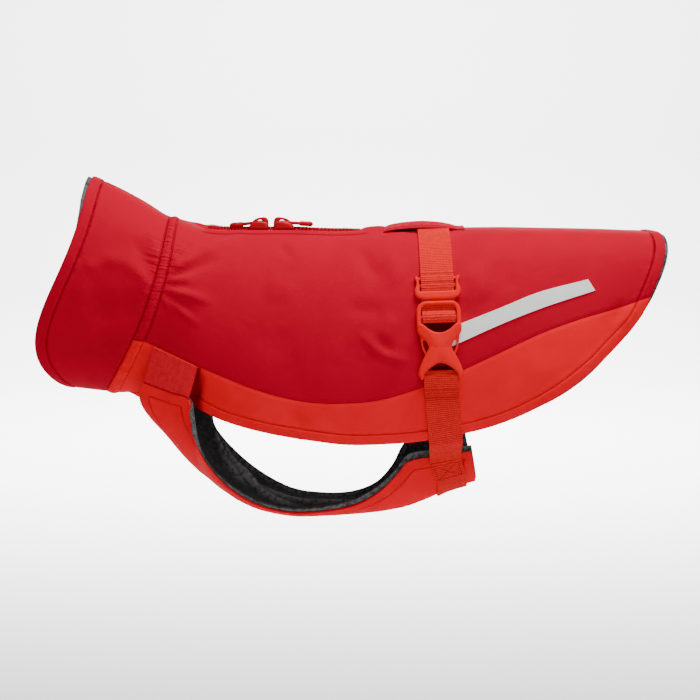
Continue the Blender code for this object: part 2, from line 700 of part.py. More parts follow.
def make_belt_under(webbing):
    """Webbing from one buckle's socket down past the hem, under the belly panel, and up."""
    buckle = buckle_start()
    half = WEBBING_WIDTH / 2
    hem_low = 0.0040
    belly_clear = 0.0007

    def side_points(u, side):
        station = BELT_STATION + u
        hem = ring(station).hem
        way = [
            (buckle + 0.0540, 0.0029), (buckle + 0.0562, 0.0029), (buckle + 0.0585, 0.0026),
            (buckle + 0.0612, 0.0014), (buckle + 0.0645, CLEAR), (buckle + 0.0740, CLEAR),
            (hem - 0.0100, CLEAR), (hem + hem_low, CLEAR),
        ]
        points = [coat_point(station, side * s, n) for s, n in way]
        section = BELT_SECTION + u / SECTION_LENGTH
        edge = belly_point(section, side, belly_clear)
        points.append(points[-1] * 0.5 + edge * 0.5 + np.array([0, side * 0.0006, 0.0004]))
        for share in (0.96, 0.90, 0.80, 0.70, 0.60, 0.50, 0.40, 0.30, 0.20, 0.10):
            points.append(belly_point(section, side * share, belly_clear))
        return points

    columns = []
    for u in (-half, 0.0, half):
        left = side_points(u, -1)
        right = side_points(u, 1)
        middle = belly_point(BELT_SECTION + u / SECTION_LENGTH, 0.0, belly_clear)
        columns.append(smooth_line(left + [middle] + right[::-1], 2))
    grid = np.stack(columns, axis=1)
    along = np.gradient(grid, axis=0)
    across = np.gradient(grid, axis=1)
    normal = np.cross(along, across)
    normal /= np.linalg.norm(normal, axis=2)[:, :, None]
    return wall("belt_under", grid + normal * WEBBING, grid, webbing)


def make_belt_loop(crimson):
    """A strip along the spine, sewn down at both ends and raised over the webbing."""
    half = 0.0135
    way = track(
        [
            (0.2510, CLEAR), (0.2570, CLEAR), (0.2640, 0.0022), (0.2740, 0.0046),
            (0.2820, 0.0056), (0.2940, 0.0046), (0.3030, 0.0026), (0.3085, CLEAR),
            (0.3140, CLEAR),
        ],
        18,
    )
    outer, inner = strip_faces(way, 0.0012)
    across = [half * j / 2 for j in range(-2, 3)]

    def grid(face):
        return [[coat_point(station, g, n) for g in across] for station, n in face]

    return wall("belt_loop", grid(outer), grid(inner), crimson)


# ---------------------------------------------------------------- stripe and zip

def make_stripes(reflective):
    upper = ((0.0780, -0.0674), (0.1149, -0.0532), (0.1458, -0.0412), (0.1841, -0.0316))
    lower = ((0.0828, -0.0799), (0.1170, -0.0649), (0.1500, -0.0524), (0.1894, -0.0400))
    thick, cells_along, cells_down = 0.0005, 14, 2
    for name, side in (("reflective_left", -1), ("reflective_right", 1)):
        ends = []
        for k in range(cells_along + 1):
            place = 3 * k / cells_along
            top, low = hermite(range(4), upper, place), hermite(range(4), lower, place)
            ends.append([top + (low - top) * j / cells_down for j in range(cells_down + 1)])
        grids = [
            [[side_view_point(x, z, side, out) for x, z in row] for row in ends]
            for out in (SEAM_GAP + thick, SEAM_GAP)
        ]
        wall(name, grids[0], grids[1], reflective)


def make_zip(tape, coil):
    stations = body_stations(ZIP_FROM, ZIP_TO)

    def strip(name, half, low, high, material):
        across = [half * j / 2 for j in range(-2, 3)]
        grids = [[[coat_point(s, g, n) for g in across] for s in stations] for n in (high, low)]
        wall(name, grids[0], grids[1], material)

    strip("zip_tape", TAPE_HALF, SEAM_GAP, COIL_LOW - SEAM_GAP, tape)
    strip("zip_coil", COIL_HALF, COIL_LOW, COIL_HIGH, coil)


def spine_station(x):
    """The station whose spine lies at x."""
    rows = np.asarray(RINGS)
    return float(np.interp(x, rows[:, 1], rows[:, 0]))


def make_slider(name, x, facing, metal):
    """A zip slider with the bridge that holds its pull; facing is -1 if the pull lies ahead."""
    station = spine_station(x)
    bridge = facing * -BRIDGE_SHIFT
    half = SLIDER_LENGTH / 2
    xs = [-half, bridge - 0.0046, bridge - 0.0030, bridge + 0.0030, bridge + 0.0046, half]
    ys = [-SLIDER_HALF, -0.0035, -BRIDGE_HALF, BRIDGE_HALF, 0.0035, SLIDER_HALF]
    zs = [COIL_LOW + SEAM_GAP, COIL_HIGH + SEAM_GAP, SLIDER_HIGH, 0.0086, BRIDGE_HIGH]

    def filled(i, j, k):
        if k == 0:
            return j in (0, 4)
        if k == 1:
            return True
        if j != 2:
            return False
        return i in (1, 3) or (k == 3 and i == 2)

    def shape(u, v, n):
        end = abs(u) == half
        if end and n == SLIDER_HIGH:
            n -= 0.0009
        if end and abs(v) == SLIDER_HALF:
            v *= 0.86
        return coat_point(station + u, v, n)

    return cells(name, xs, ys, zs, filled, shape, metal)


def make_pull(name, x, facing, droop, metal):
    """A pull tab that turns about the bar under its slider's bridge."""
    base = coat_point(spine_station(x), 0.0)
    axis = base + np.array([-facing * BRIDGE_SHIFT, 0.0, PULL_AXIS_HIGH])
    xs = [-0.0009, 0.0009, 0.0074, 0.0105, 0.0150, 0.0200, 0.0225, 0.0240]
    ys = [-0.0036, -0.0018, 0.0018, 0.0036]
    thick = {0.0150: 0.0010, 0.0200: 0.0014, 0.0225: 0.0015, 0.0240: 0.0010}

    def filled(i, j, _k):
        return not (i == 1 and j == 1)

    def shape(u, v, n):
        half = thick.get(u, 0.0009)
        if u == xs[-1]:
            v *= 0.72
        return np.array([facing * u, v, math.copysign(half, n)])

    obj = cells(name, xs, ys, [-1.0, 1.0], filled, shape, metal)
    obj.location = tuple(float(c) for c in axis)
    obj.rotation_euler = (0.0, facing * math.radians(droop), 0.0)
    return obj


# ---------------------------------------------------------------- the whole coat

def main():
    for obj in list(bpy.data.objects):
        bpy.data.objects.remove(obj, do_unlink=True)
    crimson = fabric("crimson_softshell", (190, 14, 38), 0.62)
    orange = fabric("orange_softshell", (226, 48, 36), 0.60)
    fleece = fabric("charcoal_fleece", (52, 52, 55), 0.95)
    elastic = fabric("woven_elastic", (206, 34, 40), 0.70)
    webbing = fabric("orange_webbing", (222, 62, 44), 0.66)
    plastic = fabric("orange_acetal", (226, 58, 44), 0.38)
    reflective = fabric("reflective_film", (198, 200, 196), 0.35, 0.2)
    tape = fabric("crimson_zip_tape", (170, 12, 34), 0.75)
    coil = fabric("crimson_zip_coil", (176, 16, 36), 0.45)
    metal = fabric("red_lacquered_zinc", (196, 16, 40), 0.30, 0.3)

    make_body(crimson, orange, fleece)
    make_collar(crimson, fleece)
    make_channel(crimson, orange)
    make_belly(orange, fleece)
    make_elastics(elastic)
    make_belt_over(webbing)
    make_belt_under(webbing)
    make_belt_loop(crimson)
    for side_name, side in (("left", -1), ("right", 1)):
        make_triglide(f"triglide_{side_name}", side, plastic)
        make_male_half(f"buckle_male_{side_name}", side, plastic)
        make_female_half(f"buckle_female_{side_name}", side, plastic)
    make_stripes(reflective)
    make_zip(tape, coil)
    make_slider("slider_front", FRONT_SLIDER_X, -1, metal)
    make_slider("slider_rear", REAR_SLIDER_X, 1, metal)
    make_pull("pull_front", FRONT_SLIDER_X, -1, 5.0, metal)
    make_pull("pull_rear", REAR_SLIDER_X, 1, 3.5, metal)


main()
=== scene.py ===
# %% [markdown]
# # A dog coat, worn, seen from its left side
#
# The coat is a crimson and orange-red softshell with a tall funnel collar, a gathered band at
# the neck, a belly panel that hangs on two wide elastics, a webbing belt with buckles and a zip
# along the spine. Every piece below is a thin shell on one mathematical surface, the same that
# the solid parts follow, so that pieces that are sewn to each other stay together.
#
# The scene is in metres: +X runs to the tail, +Y to the wearer's right, +Z up.

import math

import bmesh
import bpy
import numpy as np
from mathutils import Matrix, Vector


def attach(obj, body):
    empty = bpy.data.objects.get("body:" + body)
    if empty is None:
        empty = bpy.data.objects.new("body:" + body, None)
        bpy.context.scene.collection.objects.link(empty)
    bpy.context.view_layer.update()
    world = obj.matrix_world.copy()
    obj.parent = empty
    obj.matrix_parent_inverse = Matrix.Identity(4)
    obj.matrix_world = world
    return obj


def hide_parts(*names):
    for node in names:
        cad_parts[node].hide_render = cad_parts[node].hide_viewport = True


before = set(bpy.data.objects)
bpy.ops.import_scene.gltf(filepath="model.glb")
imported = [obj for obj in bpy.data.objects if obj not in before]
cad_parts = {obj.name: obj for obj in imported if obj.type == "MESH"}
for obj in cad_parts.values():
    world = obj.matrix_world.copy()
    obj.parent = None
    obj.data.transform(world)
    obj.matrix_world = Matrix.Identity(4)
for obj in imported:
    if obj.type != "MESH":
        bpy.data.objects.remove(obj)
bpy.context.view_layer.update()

# %% [markdown]
# ## Camera, light and floor
#
# A product photo of this kind is taken with a long lens from a little above the back. The lens
# sits 1.5 m away and looks down by 5.6 degrees. One large soft light hangs above the back and a
# weaker one stands beside the camera, as in a small studio, so that the back is bright and the
# sides fall off softly. The floor is one wide pale sheet that curves up far behind.

# %% Camera
def add_object(name, data):
    obj = bpy.data.objects.new(name, data)
    bpy.context.scene.collection.objects.link(obj)
    return obj


LOOK_AT = np.array([0.0, 0.0, -0.0924])
CAMERA_AWAY = 1.5
CAMERA_TILT = math.radians(5.6)
camera_data = bpy.data.cameras.new("camera")
camera_data.lens = 95.25
camera_data.sensor_width = 36.0
camera = add_object("camera", camera_data)
camera.location = LOOK_AT + CAMERA_AWAY * np.array([0, -math.cos(CAMERA_TILT), math.sin(CAMERA_TILT)])
camera.rotation_euler = (math.pi / 2 - CAMERA_TILT, 0.0, 0.0)
bpy.context.scene.camera = camera
print("camera at", [round(c, 3) for c in camera.location])


# %% Lights and the world behind them
def soft_light(name, place, aim, size, watts):
    data = bpy.data.lights.new(name, "AREA")
    data.shape = "DISK"
    data.size = size
    data.energy = watts
    lamp = add_object(name, data)
    lamp.location = place
    lamp.rotation_mode = "QUATERNION"
    lamp.rotation_quaternion = Vector(np.subtract(aim, place)).to_track_quat("-Z", "Y")


soft_light("light_above", (0.22, -0.26, 1.1), (0.02, 0, -0.05), 0.8, 24.5)
soft_light("light_front", (0.3, -1.5, 0.2), (0.02, 0, -0.1), 1.0, 5.6)
soft_light("light_backdrop", (0, 1.6, 1.9), (0, 4.4, 0.0), 2.0, 760)
world = bpy.data.worlds.new("studio")
bpy.context.scene.world = world
world.use_nodes = True
background = world.node_tree.nodes["Background"]
background.inputs["Color"].default_value = (1.0, 1.0, 1.0, 1.0)
background.inputs["Strength"].default_value = 0.18
print("two soft lights on the coat and one on the backdrop")


# %% Floor
FLOOR_Z = -0.47


def make_floor():
    rows = [(-4.0, 0.0), (3.0, 0.0), (4.0, 0.15), (4.8, 0.6), (5.2, 1.4), (5.3, 4.0)]
    verts = [(x, y, FLOOR_Z + z) for y, z in rows for x in (-6.0, 6.0)]
    faces = [(2 * i, 2 * i + 1, 2 * i + 3, 2 * i + 2) for i in range(len(rows) - 1)]
    mesh = bpy.data.meshes.new("floor")
    mesh.from_pydata(verts, [], faces)
    mesh.shade_smooth()
    paper = bpy.data.materials.new("pale_paper")
    paper.use_nodes = True
    shader = paper.node_tree.nodes["Principled BSDF"]
    shader.inputs["Base Color"].default_value = (0.9, 0.9, 0.9, 1.0)
    shader.inputs["Roughness"].default_value = 0.9
    mesh.materials.append(paper)
    return add_object("floor", mesh)


make_floor()
print("floor at", FLOOR_Z)

# %% [markdown]
# ## The surface that the cloth follows
#
# A garment on a body is close to a row of slanted ovals. Each row of the table below is one of
# them: where its top and its lowest point are in side view, how wide it is, how boxy it is, and
# how far its side bows towards the tail. A smooth curve runs through the rows, so that there is
# a ring at every station along the back. The tables follow those of the solid parts, with a
# few rows moved by some millimetres to come closer to the photograph's outline.

# %% Tables of the coat's shape
RINGS = np.array([
    # station x_top z_top x_low z_low half boxy bow peak
    (0.0000, -0.2071, 0.0484, -0.2310, -0.1209, 0.0540, 1.00, -0.0235, 0.75),
    (0.0240, -0.1860, 0.0391, -0.2225, -0.1224, 0.0560, 0.97, -0.0120, 0.73),
    (0.0480, -0.1650, 0.0278, -0.2100, -0.1239, 0.0570, 0.94, 0.0020, 0.62),
    (0.0720, -0.1440, 0.0153, -0.1964, -0.1254, 0.0580, 0.92, 0.0110, 0.50),
    (0.0800, -0.1376, 0.0139, -0.1867, -0.1264, 0.0585, 0.92, 0.0110, 0.50),
    (0.0930, -0.1253, 0.0098, -0.1720, -0.1289, 0.0610, 0.90, 0.0100, 0.50),
    (0.1010, -0.1175, 0.0060, -0.1590, -0.1404, 0.0630, 0.89, 0.0090, 0.50),
    (0.1100, -0.1090, 0.0044, -0.1465, -0.1574, 0.0655, 0.88, 0.0080, 0.50),
    (0.1250, -0.0950, 0.0038, -0.1290, -0.1804, 0.0685, 0.87, 0.0060, 0.50),
    (0.1450, -0.0770, 0.0038, -0.1050, -0.2024, 0.0725, 0.85, 0.0040, 0.50),
    (0.1750, -0.0480, 0.0038, -0.0660, -0.2229, 0.0765, 0.84, 0.0020, 0.50),
    (0.2230, 0.0000, 0.0028, -0.0020, -0.2294, 0.0800, 0.83, 0.0000, 0.50),
    (0.2400, 0.0170, 0.0042, 0.0190, -0.2276, 0.0801, 0.83, 0.0000, 0.48),
    (0.2630, 0.0400, 0.0054, 0.0450, -0.2234, 0.0800, 0.82, 0.0000, 0.45),
    (0.3030, 0.0800, 0.0066, 0.0880, -0.2124, 0.0790, 0.80, 0.0000, 0.38),
    (0.3430, 0.1200, 0.0071, 0.1260, -0.2054, 0.0770, 0.75, 0.0000, 0.30),
    (0.3830, 0.1600, 0.0064, 0.1500, -0.2014, 0.0740, 0.67, 0.0004, 0.22),
    (0.4230, 0.2000, 0.0055, 0.1680, -0.1989, 0.0700, 0.54, 0.0020, 0.17),
    (0.4530, 0.2300, 0.0043, 0.1740, -0.1984, 0.0645, 0.42, 0.0052, 0.15),
    (0.4685, 0.2455, 0.0040, 0.1756, -0.1984, 0.0615, 0.35, 0.0071, 0.14),
])
SEAM_LINE = (
    (-0.1900, -0.0764), (-0.1640, -0.0794), (-0.1531, -0.0834), (-0.1350, -0.0912),
    (-0.1176, -0.0989), (-0.1005, -0.1057), (-0.0771, -0.1146), (-0.0539, -0.1213),
    (-0.0308, -0.1254), (-0.0050, -0.1260), (0.0231, -0.1233), (0.0538, -0.1141),
    (0.0846, -0.1011), (0.1153, -0.0869), (0.1461, -0.0728), (0.1771, -0.0618),
    (0.2088, -0.0531), (0.2275, -0.0469), (0.2450, -0.0414),
)
HEM_LINE = (
    (-0.2000, -0.1319), (-0.1700, -0.1304), (-0.1500, -0.1299), (-0.1244, -0.1309),
    (-0.1010, -0.1406), (-0.0776, -0.1474), (-0.0543, -0.1522), (-0.0310, -0.1557),
    (0.0000, -0.1591), (0.0388, -0.1579), (0.0698, -0.1541), (0.0930, -0.1494),
    (0.1162, -0.1428), (0.1394, -0.1330), (0.1625, -0.1205), (0.1856, -0.1031),
    (0.2012, -0.0882), (0.2169, -0.0721), (0.2248, -0.0622), (0.2328, -0.0500),
    (0.2420, -0.0334),
)
BELLY_ROWS = np.array([
    # section x_mid z_mid x_edge z_edge half wrap boxy jut lift
    (0, -0.1456, -0.1634, -0.1620, -0.1132, 0.0530, 80, 1.00, -0.0080, 0.000),
    (1, -0.1394, -0.1724, -0.1500, -0.1171, 0.0575, 80, 1.00, -0.0042, 0.000),
    (2, -0.1304, -0.1829, -0.1380, -0.1209, 0.0625, 80, 1.00, 0.0000, 0.000),
    (3, -0.1215, -0.1914, -0.1257, -0.1248, 0.0670, 80, 1.00, 0.0000, 0.000),
    (4, -0.1140, -0.1969, -0.1247, -0.1414, 0.0660, 78, 0.98, 0.0000, 0.006),
    (5, -0.1060, -0.2032, -0.1218, -0.1579, 0.0635, 74, 0.97, 0.0000, 0.010),
    (6, -0.0960, -0.2099, -0.1140, -0.1754, 0.0590, 68, 0.95, 0.0000, 0.0115),
    (7, -0.0840, -0.2169, -0.0990, -0.1939, 0.0520, 60, 0.93, 0.0000, 0.011),
    (8, -0.0680, -0.2229, -0.0765, -0.2098, 0.0450, 50, 0.92, 0.0000, 0.0085),
    (9, -0.0440, -0.2270, -0.0490, -0.2180, 0.0400, 42, 0.90, 0.0000, 0.003),
    (10, -0.0180, -0.2267, -0.0210, -0.2170, 0.0385, 42, 0.88, 0.0000, -0.002),
    (11, 0.0050, -0.2254, 0.0030, -0.2116, 0.0385, 50, 0.84, 0.0000, -0.006),
    (12, 0.0240, -0.2236, 0.0230, -0.2008, 0.0395, 60, 0.78, 0.0000, -0.009),
    (13, 0.0380, -0.2209, 0.0365, -0.1885, 0.0415, 70, 0.70, 0.0000, -0.007),
    (14, 0.0470, -0.2185, 0.0460, -0.1774, 0.0430, 76, 0.64, 0.0000, -0.002),
    (15, 0.0630, -0.2120, 0.0625, -0.1734, 0.0435, 80, 0.60, 0.0000, 0.000),
    (16, 0.0800, -0.2038, 0.0790, -0.1711, 0.0430, 80, 0.58, 0.0000, 0.000),
    (17, 0.1010, -0.1978, 0.0960, -0.1686, 0.0420, 80, 0.56, 0.0000, 0.000),
])
print(len(RINGS), "rings and", len(BELLY_ROWS), "belly sections")

# %% Sizes of cloth and trimmings
SEAM_GAP = 0.0003
SHELL = 0.0014
FLEECE = 0.0011
LINING_FACE = -SHELL - SEAM_GAP
COLLAR_END, BODY_START, THROAT_END, TAIL_END = 0.0720, 0.0800, 0.0930, 0.4677
ZIP_FROM, ZIP_TO = 0.1040, 0.2330
BELT_STATION = 0.2890
WEBBING_WIDTH, WEBBING = 0.0250, 0.0014
CLEAR = 0.0004
TRIGLIDE_TOP_Z, BUCKLE_TOP_Z = -0.0299, -0.0486
EAR_SECTIONS = 3
FLEECE_RIM = 0.0044


def both_sides(make):
    """Makes a piece on the left side and then its twin on the right one."""
    for side, hand in ((-1, "left"), (1, "right")):
        make(side, hand)


# %% A smooth curve through a table
def hermite(places, values, at):
    """The rows of a table at any places between its own rows; at may have any shape."""
    places, values, at = np.asarray(places, float), np.asarray(values, float), np.asarray(at, float)
    gap = np.diff(places)
    slope = np.diff(values, axis=0) / gap[:, None]
    inner = (slope[:-1] * gap[1:, None] + slope[1:] * gap[:-1, None]) / (gap[1:] + gap[:-1])[:, None]
    turn = np.vstack([slope[:1], inner, slope[-1:]])
    i = np.clip(np.searchsorted(places, at) - 1, 0, len(gap) - 1)
    h = gap[i][..., None]
    raw = ((at - places[i]) / gap[i])[..., None]
    t = np.clip(raw, 0, 1)
    curve = (
        values[i] * (1 + 2 * t) * (1 - t) ** 2 + turn[i] * h * t * (1 - t) ** 2
        + values[i + 1] * t * t * (3 - 2 * t) + turn[i + 1] * h * t * t * (t - 1)
    )
    return curve + np.where(raw < 0, turn[i], turn[i + 1]) * h * (raw - t)


def smooth_line(line, steps=8):
    points = np.asarray(line, float)
    places = np.linspace(0, len(points) - 1, (len(points) - 1) * steps + 1)
    return hermite(np.arange(len(points)), points, places)


def running(points, axis=0):
    """How far along its line each point lies, beginning with 0."""
    steps = np.linalg.norm(np.diff(points, axis=axis), axis=-1)
    return np.insert(steps.cumsum(axis), 0, 0.0, axis=axis)


def bow_shape(share, peak):
    """0 at both ends of a side and 1 at the peak."""
    fore = np.maximum(1.0, peak / (1 - peak))
    aft = np.maximum(1.0, (1 - peak) / peak)
    top = (fore / (fore + aft)) ** fore * (aft / (fore + aft)) ** aft
    return share ** fore * (1 - share) ** aft / top


# %% The coat's surface as one fine grid
STATIONS = np.arange(-0.006, 0.4751, 0.001)
CROWD = 2.5  # how much the points of a ring crowd at the spine and at the low point
ACROSS = np.linspace(-1, 1, 801)
MIDDLE = len(ACROSS) // 2
SMOOTH_SEAM, SMOOTH_HEM = smooth_line(SEAM_LINE), smooth_line(HEM_LINE)


def crossing(x, z, length, line):
    """The length from the spine at which a ring meets a line of the side view."""
    above = z - np.interp(x, line[:, 0], line[:, 1])
    first = int(np.argmax(above < 0))
    if above[first] >= 0:
        return length[-1]
    share = above[first - 1] / (above[first - 1] - above[first])
    return length[first - 1] + share * (length[first] - length[first - 1])


def make_grid():
    """Points of every ring, evenly divided from the left low point to the right one, and each
    ring's half length, seam and hem lengths."""
    points, facts = [], []
    u = np.linspace(0, 1, 500)
    ease = u ** CROWD / (u ** CROWD + (1 - u) ** CROWD)
    share = (1 - np.cos(math.pi * ease)) / 2
    for row, station in zip(hermite(RINGS[:, 0], RINGS[:, 1:], STATIONS), STATIONS):
        x_top, z_top, x_low, z_low, half, boxy, bow, peak = row
        x = x_top + (x_low - x_top) * share + bow * bow_shape(share, peak)
        z = z_top + (z_low - z_top) * share
        y = half * np.abs(np.sin(math.pi * ease)) ** boxy
        y[-1] = 0.0
        steps = np.sqrt(np.diff(x) ** 2 + np.diff(y) ** 2 + np.diff(z) ** 2)
        length = np.concatenate([[0], np.cumsum(steps)])
        seam = crossing(x, z, length, SMOOTH_SEAM)
        hem = crossing(x, z, length, SMOOTH_HEM) if station > THROAT_END else length[-1]
        side = [np.interp(np.abs(ACROSS) * length[-1], length, v) for v in (x, y, z)]
        side[1] = side[1] * np.sign(ACROSS)
        points.append(np.column_stack(side))
        facts.append((length[-1], seam, hem))
    return np.array(points), np.array(facts)


GRID, FACTS = make_grid()
NORMALS = np.cross(np.gradient(GRID, axis=0), np.gradient(GRID, axis=1))
NORMALS /= np.linalg.norm(NORMALS, axis=2)[:, :, None]
print("surface grid", GRID.shape)


def whole_length(station):
    return np.interp(station, STATIONS, FACTS[:, 0])


def seam_length(station):
    return np.interp(station, STATIONS, FACTS[:, 1])


def hem_length(station):
    return np.interp(station, STATIONS, FACTS[:, 2])


# %% Reading the grid smoothly
def weights(t):
    """Weights of the four nearest values for a smooth reading between the middle two."""
    return (
        -0.5 * t + t * t - 0.5 * t ** 3, 1 - 2.5 * t * t + 1.5 * t ** 3,
        0.5 * t + 2 * t * t - 1.5 * t ** 3, -0.5 * t * t + 0.5 * t ** 3,
    )


def read_grid(grid, station, length):
    station, length = np.broadcast_arrays(np.asarray(station, float), np.asarray(length, float))
    row = (station - STATIONS[0]) / (STATIONS[1] - STATIONS[0])
    share = np.clip(length / whole_length(station), -1, 1)
    col = (share + 1) / (ACROSS[1] - ACROSS[0])
    i, j = np.floor(row).astype(int), np.floor(col).astype(int)
    total = 0.0
    for a, wa in enumerate(weights(row - i)):
        for b, wb in enumerate(weights(col - j)):
            r = np.clip(i + a - 1, 0, grid.shape[0] - 1)
            c = np.clip(j + b - 1, 0, grid.shape[1] - 1)
            total = total + (wa * wb)[..., None] * grid[r, c]
    return total

# %% [markdown]
# ## Folds
#
# Cloth on a body is never quite smooth: it pulls in soft ridges from the gathered neck, dips
# behind the shoulder and buckles where the belt holds it. The folds are listed, each as
# a line in side view with a width and a height, in tenths of a millimetre. The first rows of
# each side are the same as in the solid parts; the later rows are finer creases that only show
# close by. Those of the right side are much like the left ones without being their mirror image.

# %% Table of folds
FOLDS = {  # side: rows of x_from z_from x_to z_to width height
    -1: [
        (-2300, -774, -1800, -574, 130, -14), (900, -224, 1050, -474, 140, 12),
        (1500, -874, 1150, -1274, 140, 10), (-1426, -258, -1085, -87, 30, 26),
        (-1178, -133, -822, 7, 36, 23), (-1395, -305, -1008, -157, 26, -18),
        (-1442, -328, -1240, -305, 23, 14), (-1434, -363, -1209, -375, 23, -12),
        (-1457, -383, -1070, -491, 32, 23), (-1450, -429, -1194, -577, 22, -10),
        (-1442, -437, -1256, -608, 19, 12), (-1310, -561, -1171, -670, 19, 10),
        (-1473, -445, -1372, -569, 19, 10), (-1395, -196, -1287, -63, 21, 17),
        (-1364, -157, -1225, -48, 23, -9), (-574, -48, -434, -165, 34, -13),
        (-651, -336, -388, -429, 90, 13), (47, -71, 233, -328, 60, -20), (318, -87, 364, -351, 70, 15),
        (-47, -523, 279, -569, 65, -15), (85, -725, 209, -857, 30, 16), (163, -818, 302, -912, 30, 16),
        (256, -888, 450, -935, 30, 15), (326, -577, 248, -772, 55, 13),
        (217, -779, 341, -857, 35, -14), (-527, -1293, -357, -1449, 50, -11),
        (-171, -1277, -163, -1449, 50, -9), (-2124, -507, -2008, -149, 80, 12),
        (-2062, -242, -1829, -126, 80, 14), (-1891, -118, -1674, -227, 70, 16),
        (-1729, -180, -1535, -390, 50, 16), (-2062, -585, -1628, -491, 160, -26),
        (-1705, 7, -1527, -258, 45, -14), (-1589, 69, -1488, -149, 34, 10),
        (-1581, -289, -1512, -344, 20, -7), (-1628, -414, -1527, -445, 24, 7),
        (-1171, -1021, -1217, -1301, 36, -55), (930, -180, 1054, -476, 90, 13),
        (1163, -149, 1256, -414, 80, -10), (814, -476, 930, -616, 60, -10),
        (2031, -647, 2124, -476, 40, -12), (2109, -678, 2186, -507, 45, 12),
        (-853, -709, -388, -865, 140, -12),
    ],
    1: [
        (-2200, -274, -1650, -424, 120, 20), (-2200, -724, -1750, -624, 120, -16),
        (-1440, -354, -1100, -274, 60, 12), (-1420, -524, -1000, -574, 70, -11),
        (80, -174, 200, -674, 130, -14), (1000, -274, 1200, -574, 150, 12),
        (1550, -824, 1250, -1224, 150, 10), (-1413, -290, -1146, -169, 33, 19),
        (-1183, -99, -885, -16, 34, 13), (-1375, -254, -1024, -106, 25, -12),
        (-1436, -305, -1204, -315, 25, 14), (-1435, -395, -1243, -372, 27, -12),
        (-1456, -349, -1116, -438, 34, 17), (-1455, -436, -1215, -559, 20, -8),
        (-1441, -459, -1258, -643, 23, 11), (-1471, -474, -1388, -611, 21, 8),
        (-1394, -148, -1336, -60, 24, 11), (-605, -65, -491, -185, 31, -13),
        (94, -26, 299, -246, 54, -18), (374, -59, 413, -288, 76, 16), (60, -756, 180, -917, 30, 17),
        (143, -867, 246, -987, 34, 15), (231, -929, 463, -981, 29, 12),
        (-580, -1326, -396, -1510, 46, -10), (-2092, -193, -1890, -74, 91, 13),
        (-1833, -120, -1637, -236, 64, 15), (-1759, -141, -1539, -351, 45, 14),
        (-2093, -614, -1680, -491, 151, -21), (-1538, 75, -1398, -150, 40, 10),
        (-1128, -996, -1167, -1309, 40, -38), (978, -138, 1089, -421, 103, 13),
        (1201, -146, 1306, -396, 78, -11), (2086, -690, 2216, -482, 44, -10),
        (2156, -715, 2271, -531, 41, 10), (-1300, 60, -980, 30, 80, 30),
    ],
}


def fold_height(points):
    """How far the folds lift the cloth at points of the surface."""
    lift = np.zeros(points.shape[:-1])
    for side, folds in FOLDS.items():
        turn = np.clip(side * points[..., 1] / 0.007, 0, 1)
        for x0, z0, x1, z1, width, height in np.array(folds) / 10000:
            along = np.array([x1 - x0, z1 - z0])
            size = math.hypot(*along)
            dx, dz = points[..., 0] - x0, points[..., 2] - z0
            share = (dx * along[0] + dz * along[1]) / size ** 2
            away = np.abs(dx * along[1] - dz * along[0]) / size
            fade = np.exp(-((share - 0.5) / 0.42) ** 4) * turn * turn * (3 - 2 * turn)
            lift += height * fade * np.exp(-(away / width) ** 2)
    return lift


def coat(station, length, out=0.0):
    """Points of the coat: length is the way along the cloth from the spine, below zero on the
    left; out is how far a point lies outside the shell's face."""
    point = read_grid(GRID, station, length)
    normal = read_grid(NORMALS, station, length)
    normal = normal / np.linalg.norm(normal, axis=-1)[..., None]
    return point + normal * (np.asarray(out) + fold_height(point))[..., None]


def layers(station, length, face, thick):
    """Both faces of a cloth whose outer face lies at the height face."""
    return coat(station, length, face), coat(station, length, face - thick)


print("highest fold", round(float(np.abs(fold_height(GRID)).max()) * 1000, 2), "mm")


# %% The belly panel's surface
def belly_face(section, share):
    row = hermite(BELLY_ROWS[:, 0], BELLY_ROWS[:, 1:], section)
    x_mid, z_mid, x_edge, z_edge, half, wrap, boxy, jut, lift = np.moveaxis(row, -1, 0)
    wrap = np.radians(wrap)
    angle = np.minimum(np.abs(share), 1.12) * wrap
    rise = (1 - np.cos(angle)) / (1 - np.cos(wrap))
    y = half * (np.sin(angle) / np.sin(wrap)) ** boxy * np.sign(share)
    x = x_mid + (x_edge - x_mid) * rise + jut * bow_shape(np.minimum(rise, 1.0), 0.66)
    top = z_edge + np.where(share > 0, lift, 0.0)
    return np.stack([x, y, z_mid + (top - z_mid) * rise], axis=-1)


def belly(section, share, out=0.0):
    """Points of the belly panel: share runs from -1 at the left edge to 1 at the right."""
    section, share = np.broadcast_arrays(np.asarray(section, float), np.asarray(share, float))
    step = 0.02
    across = belly_face(section, share + step) - belly_face(section, share - step)
    forward = belly_face(section + step, share) - belly_face(section - step, share)
    normal = np.cross(across, forward)
    normal /= np.linalg.norm(normal, axis=-1)[..., None]
    return belly_face(section, share) + normal * np.asarray(out)[..., None]

# %% [markdown]
# ## Making a sheet of cloth
#
# A sheet is two grids of points, one for each face, joined along the rim. Modelling it as a
# closed wall keeps its true thickness and gives the cut edge that the eye looks for. Each sheet
# also carries two maps in metres: "cloth" says where a point lies on the flat cloth, for the
# weave, and "edge" says how far it lies from the sewn edge and how far along, for stitches.

# %% Building a wall between two grids
def pair(first, second=0.0):
    """The two numbers of a map for each grid point."""
    return np.stack(np.broadcast_arrays(first, second), -1)


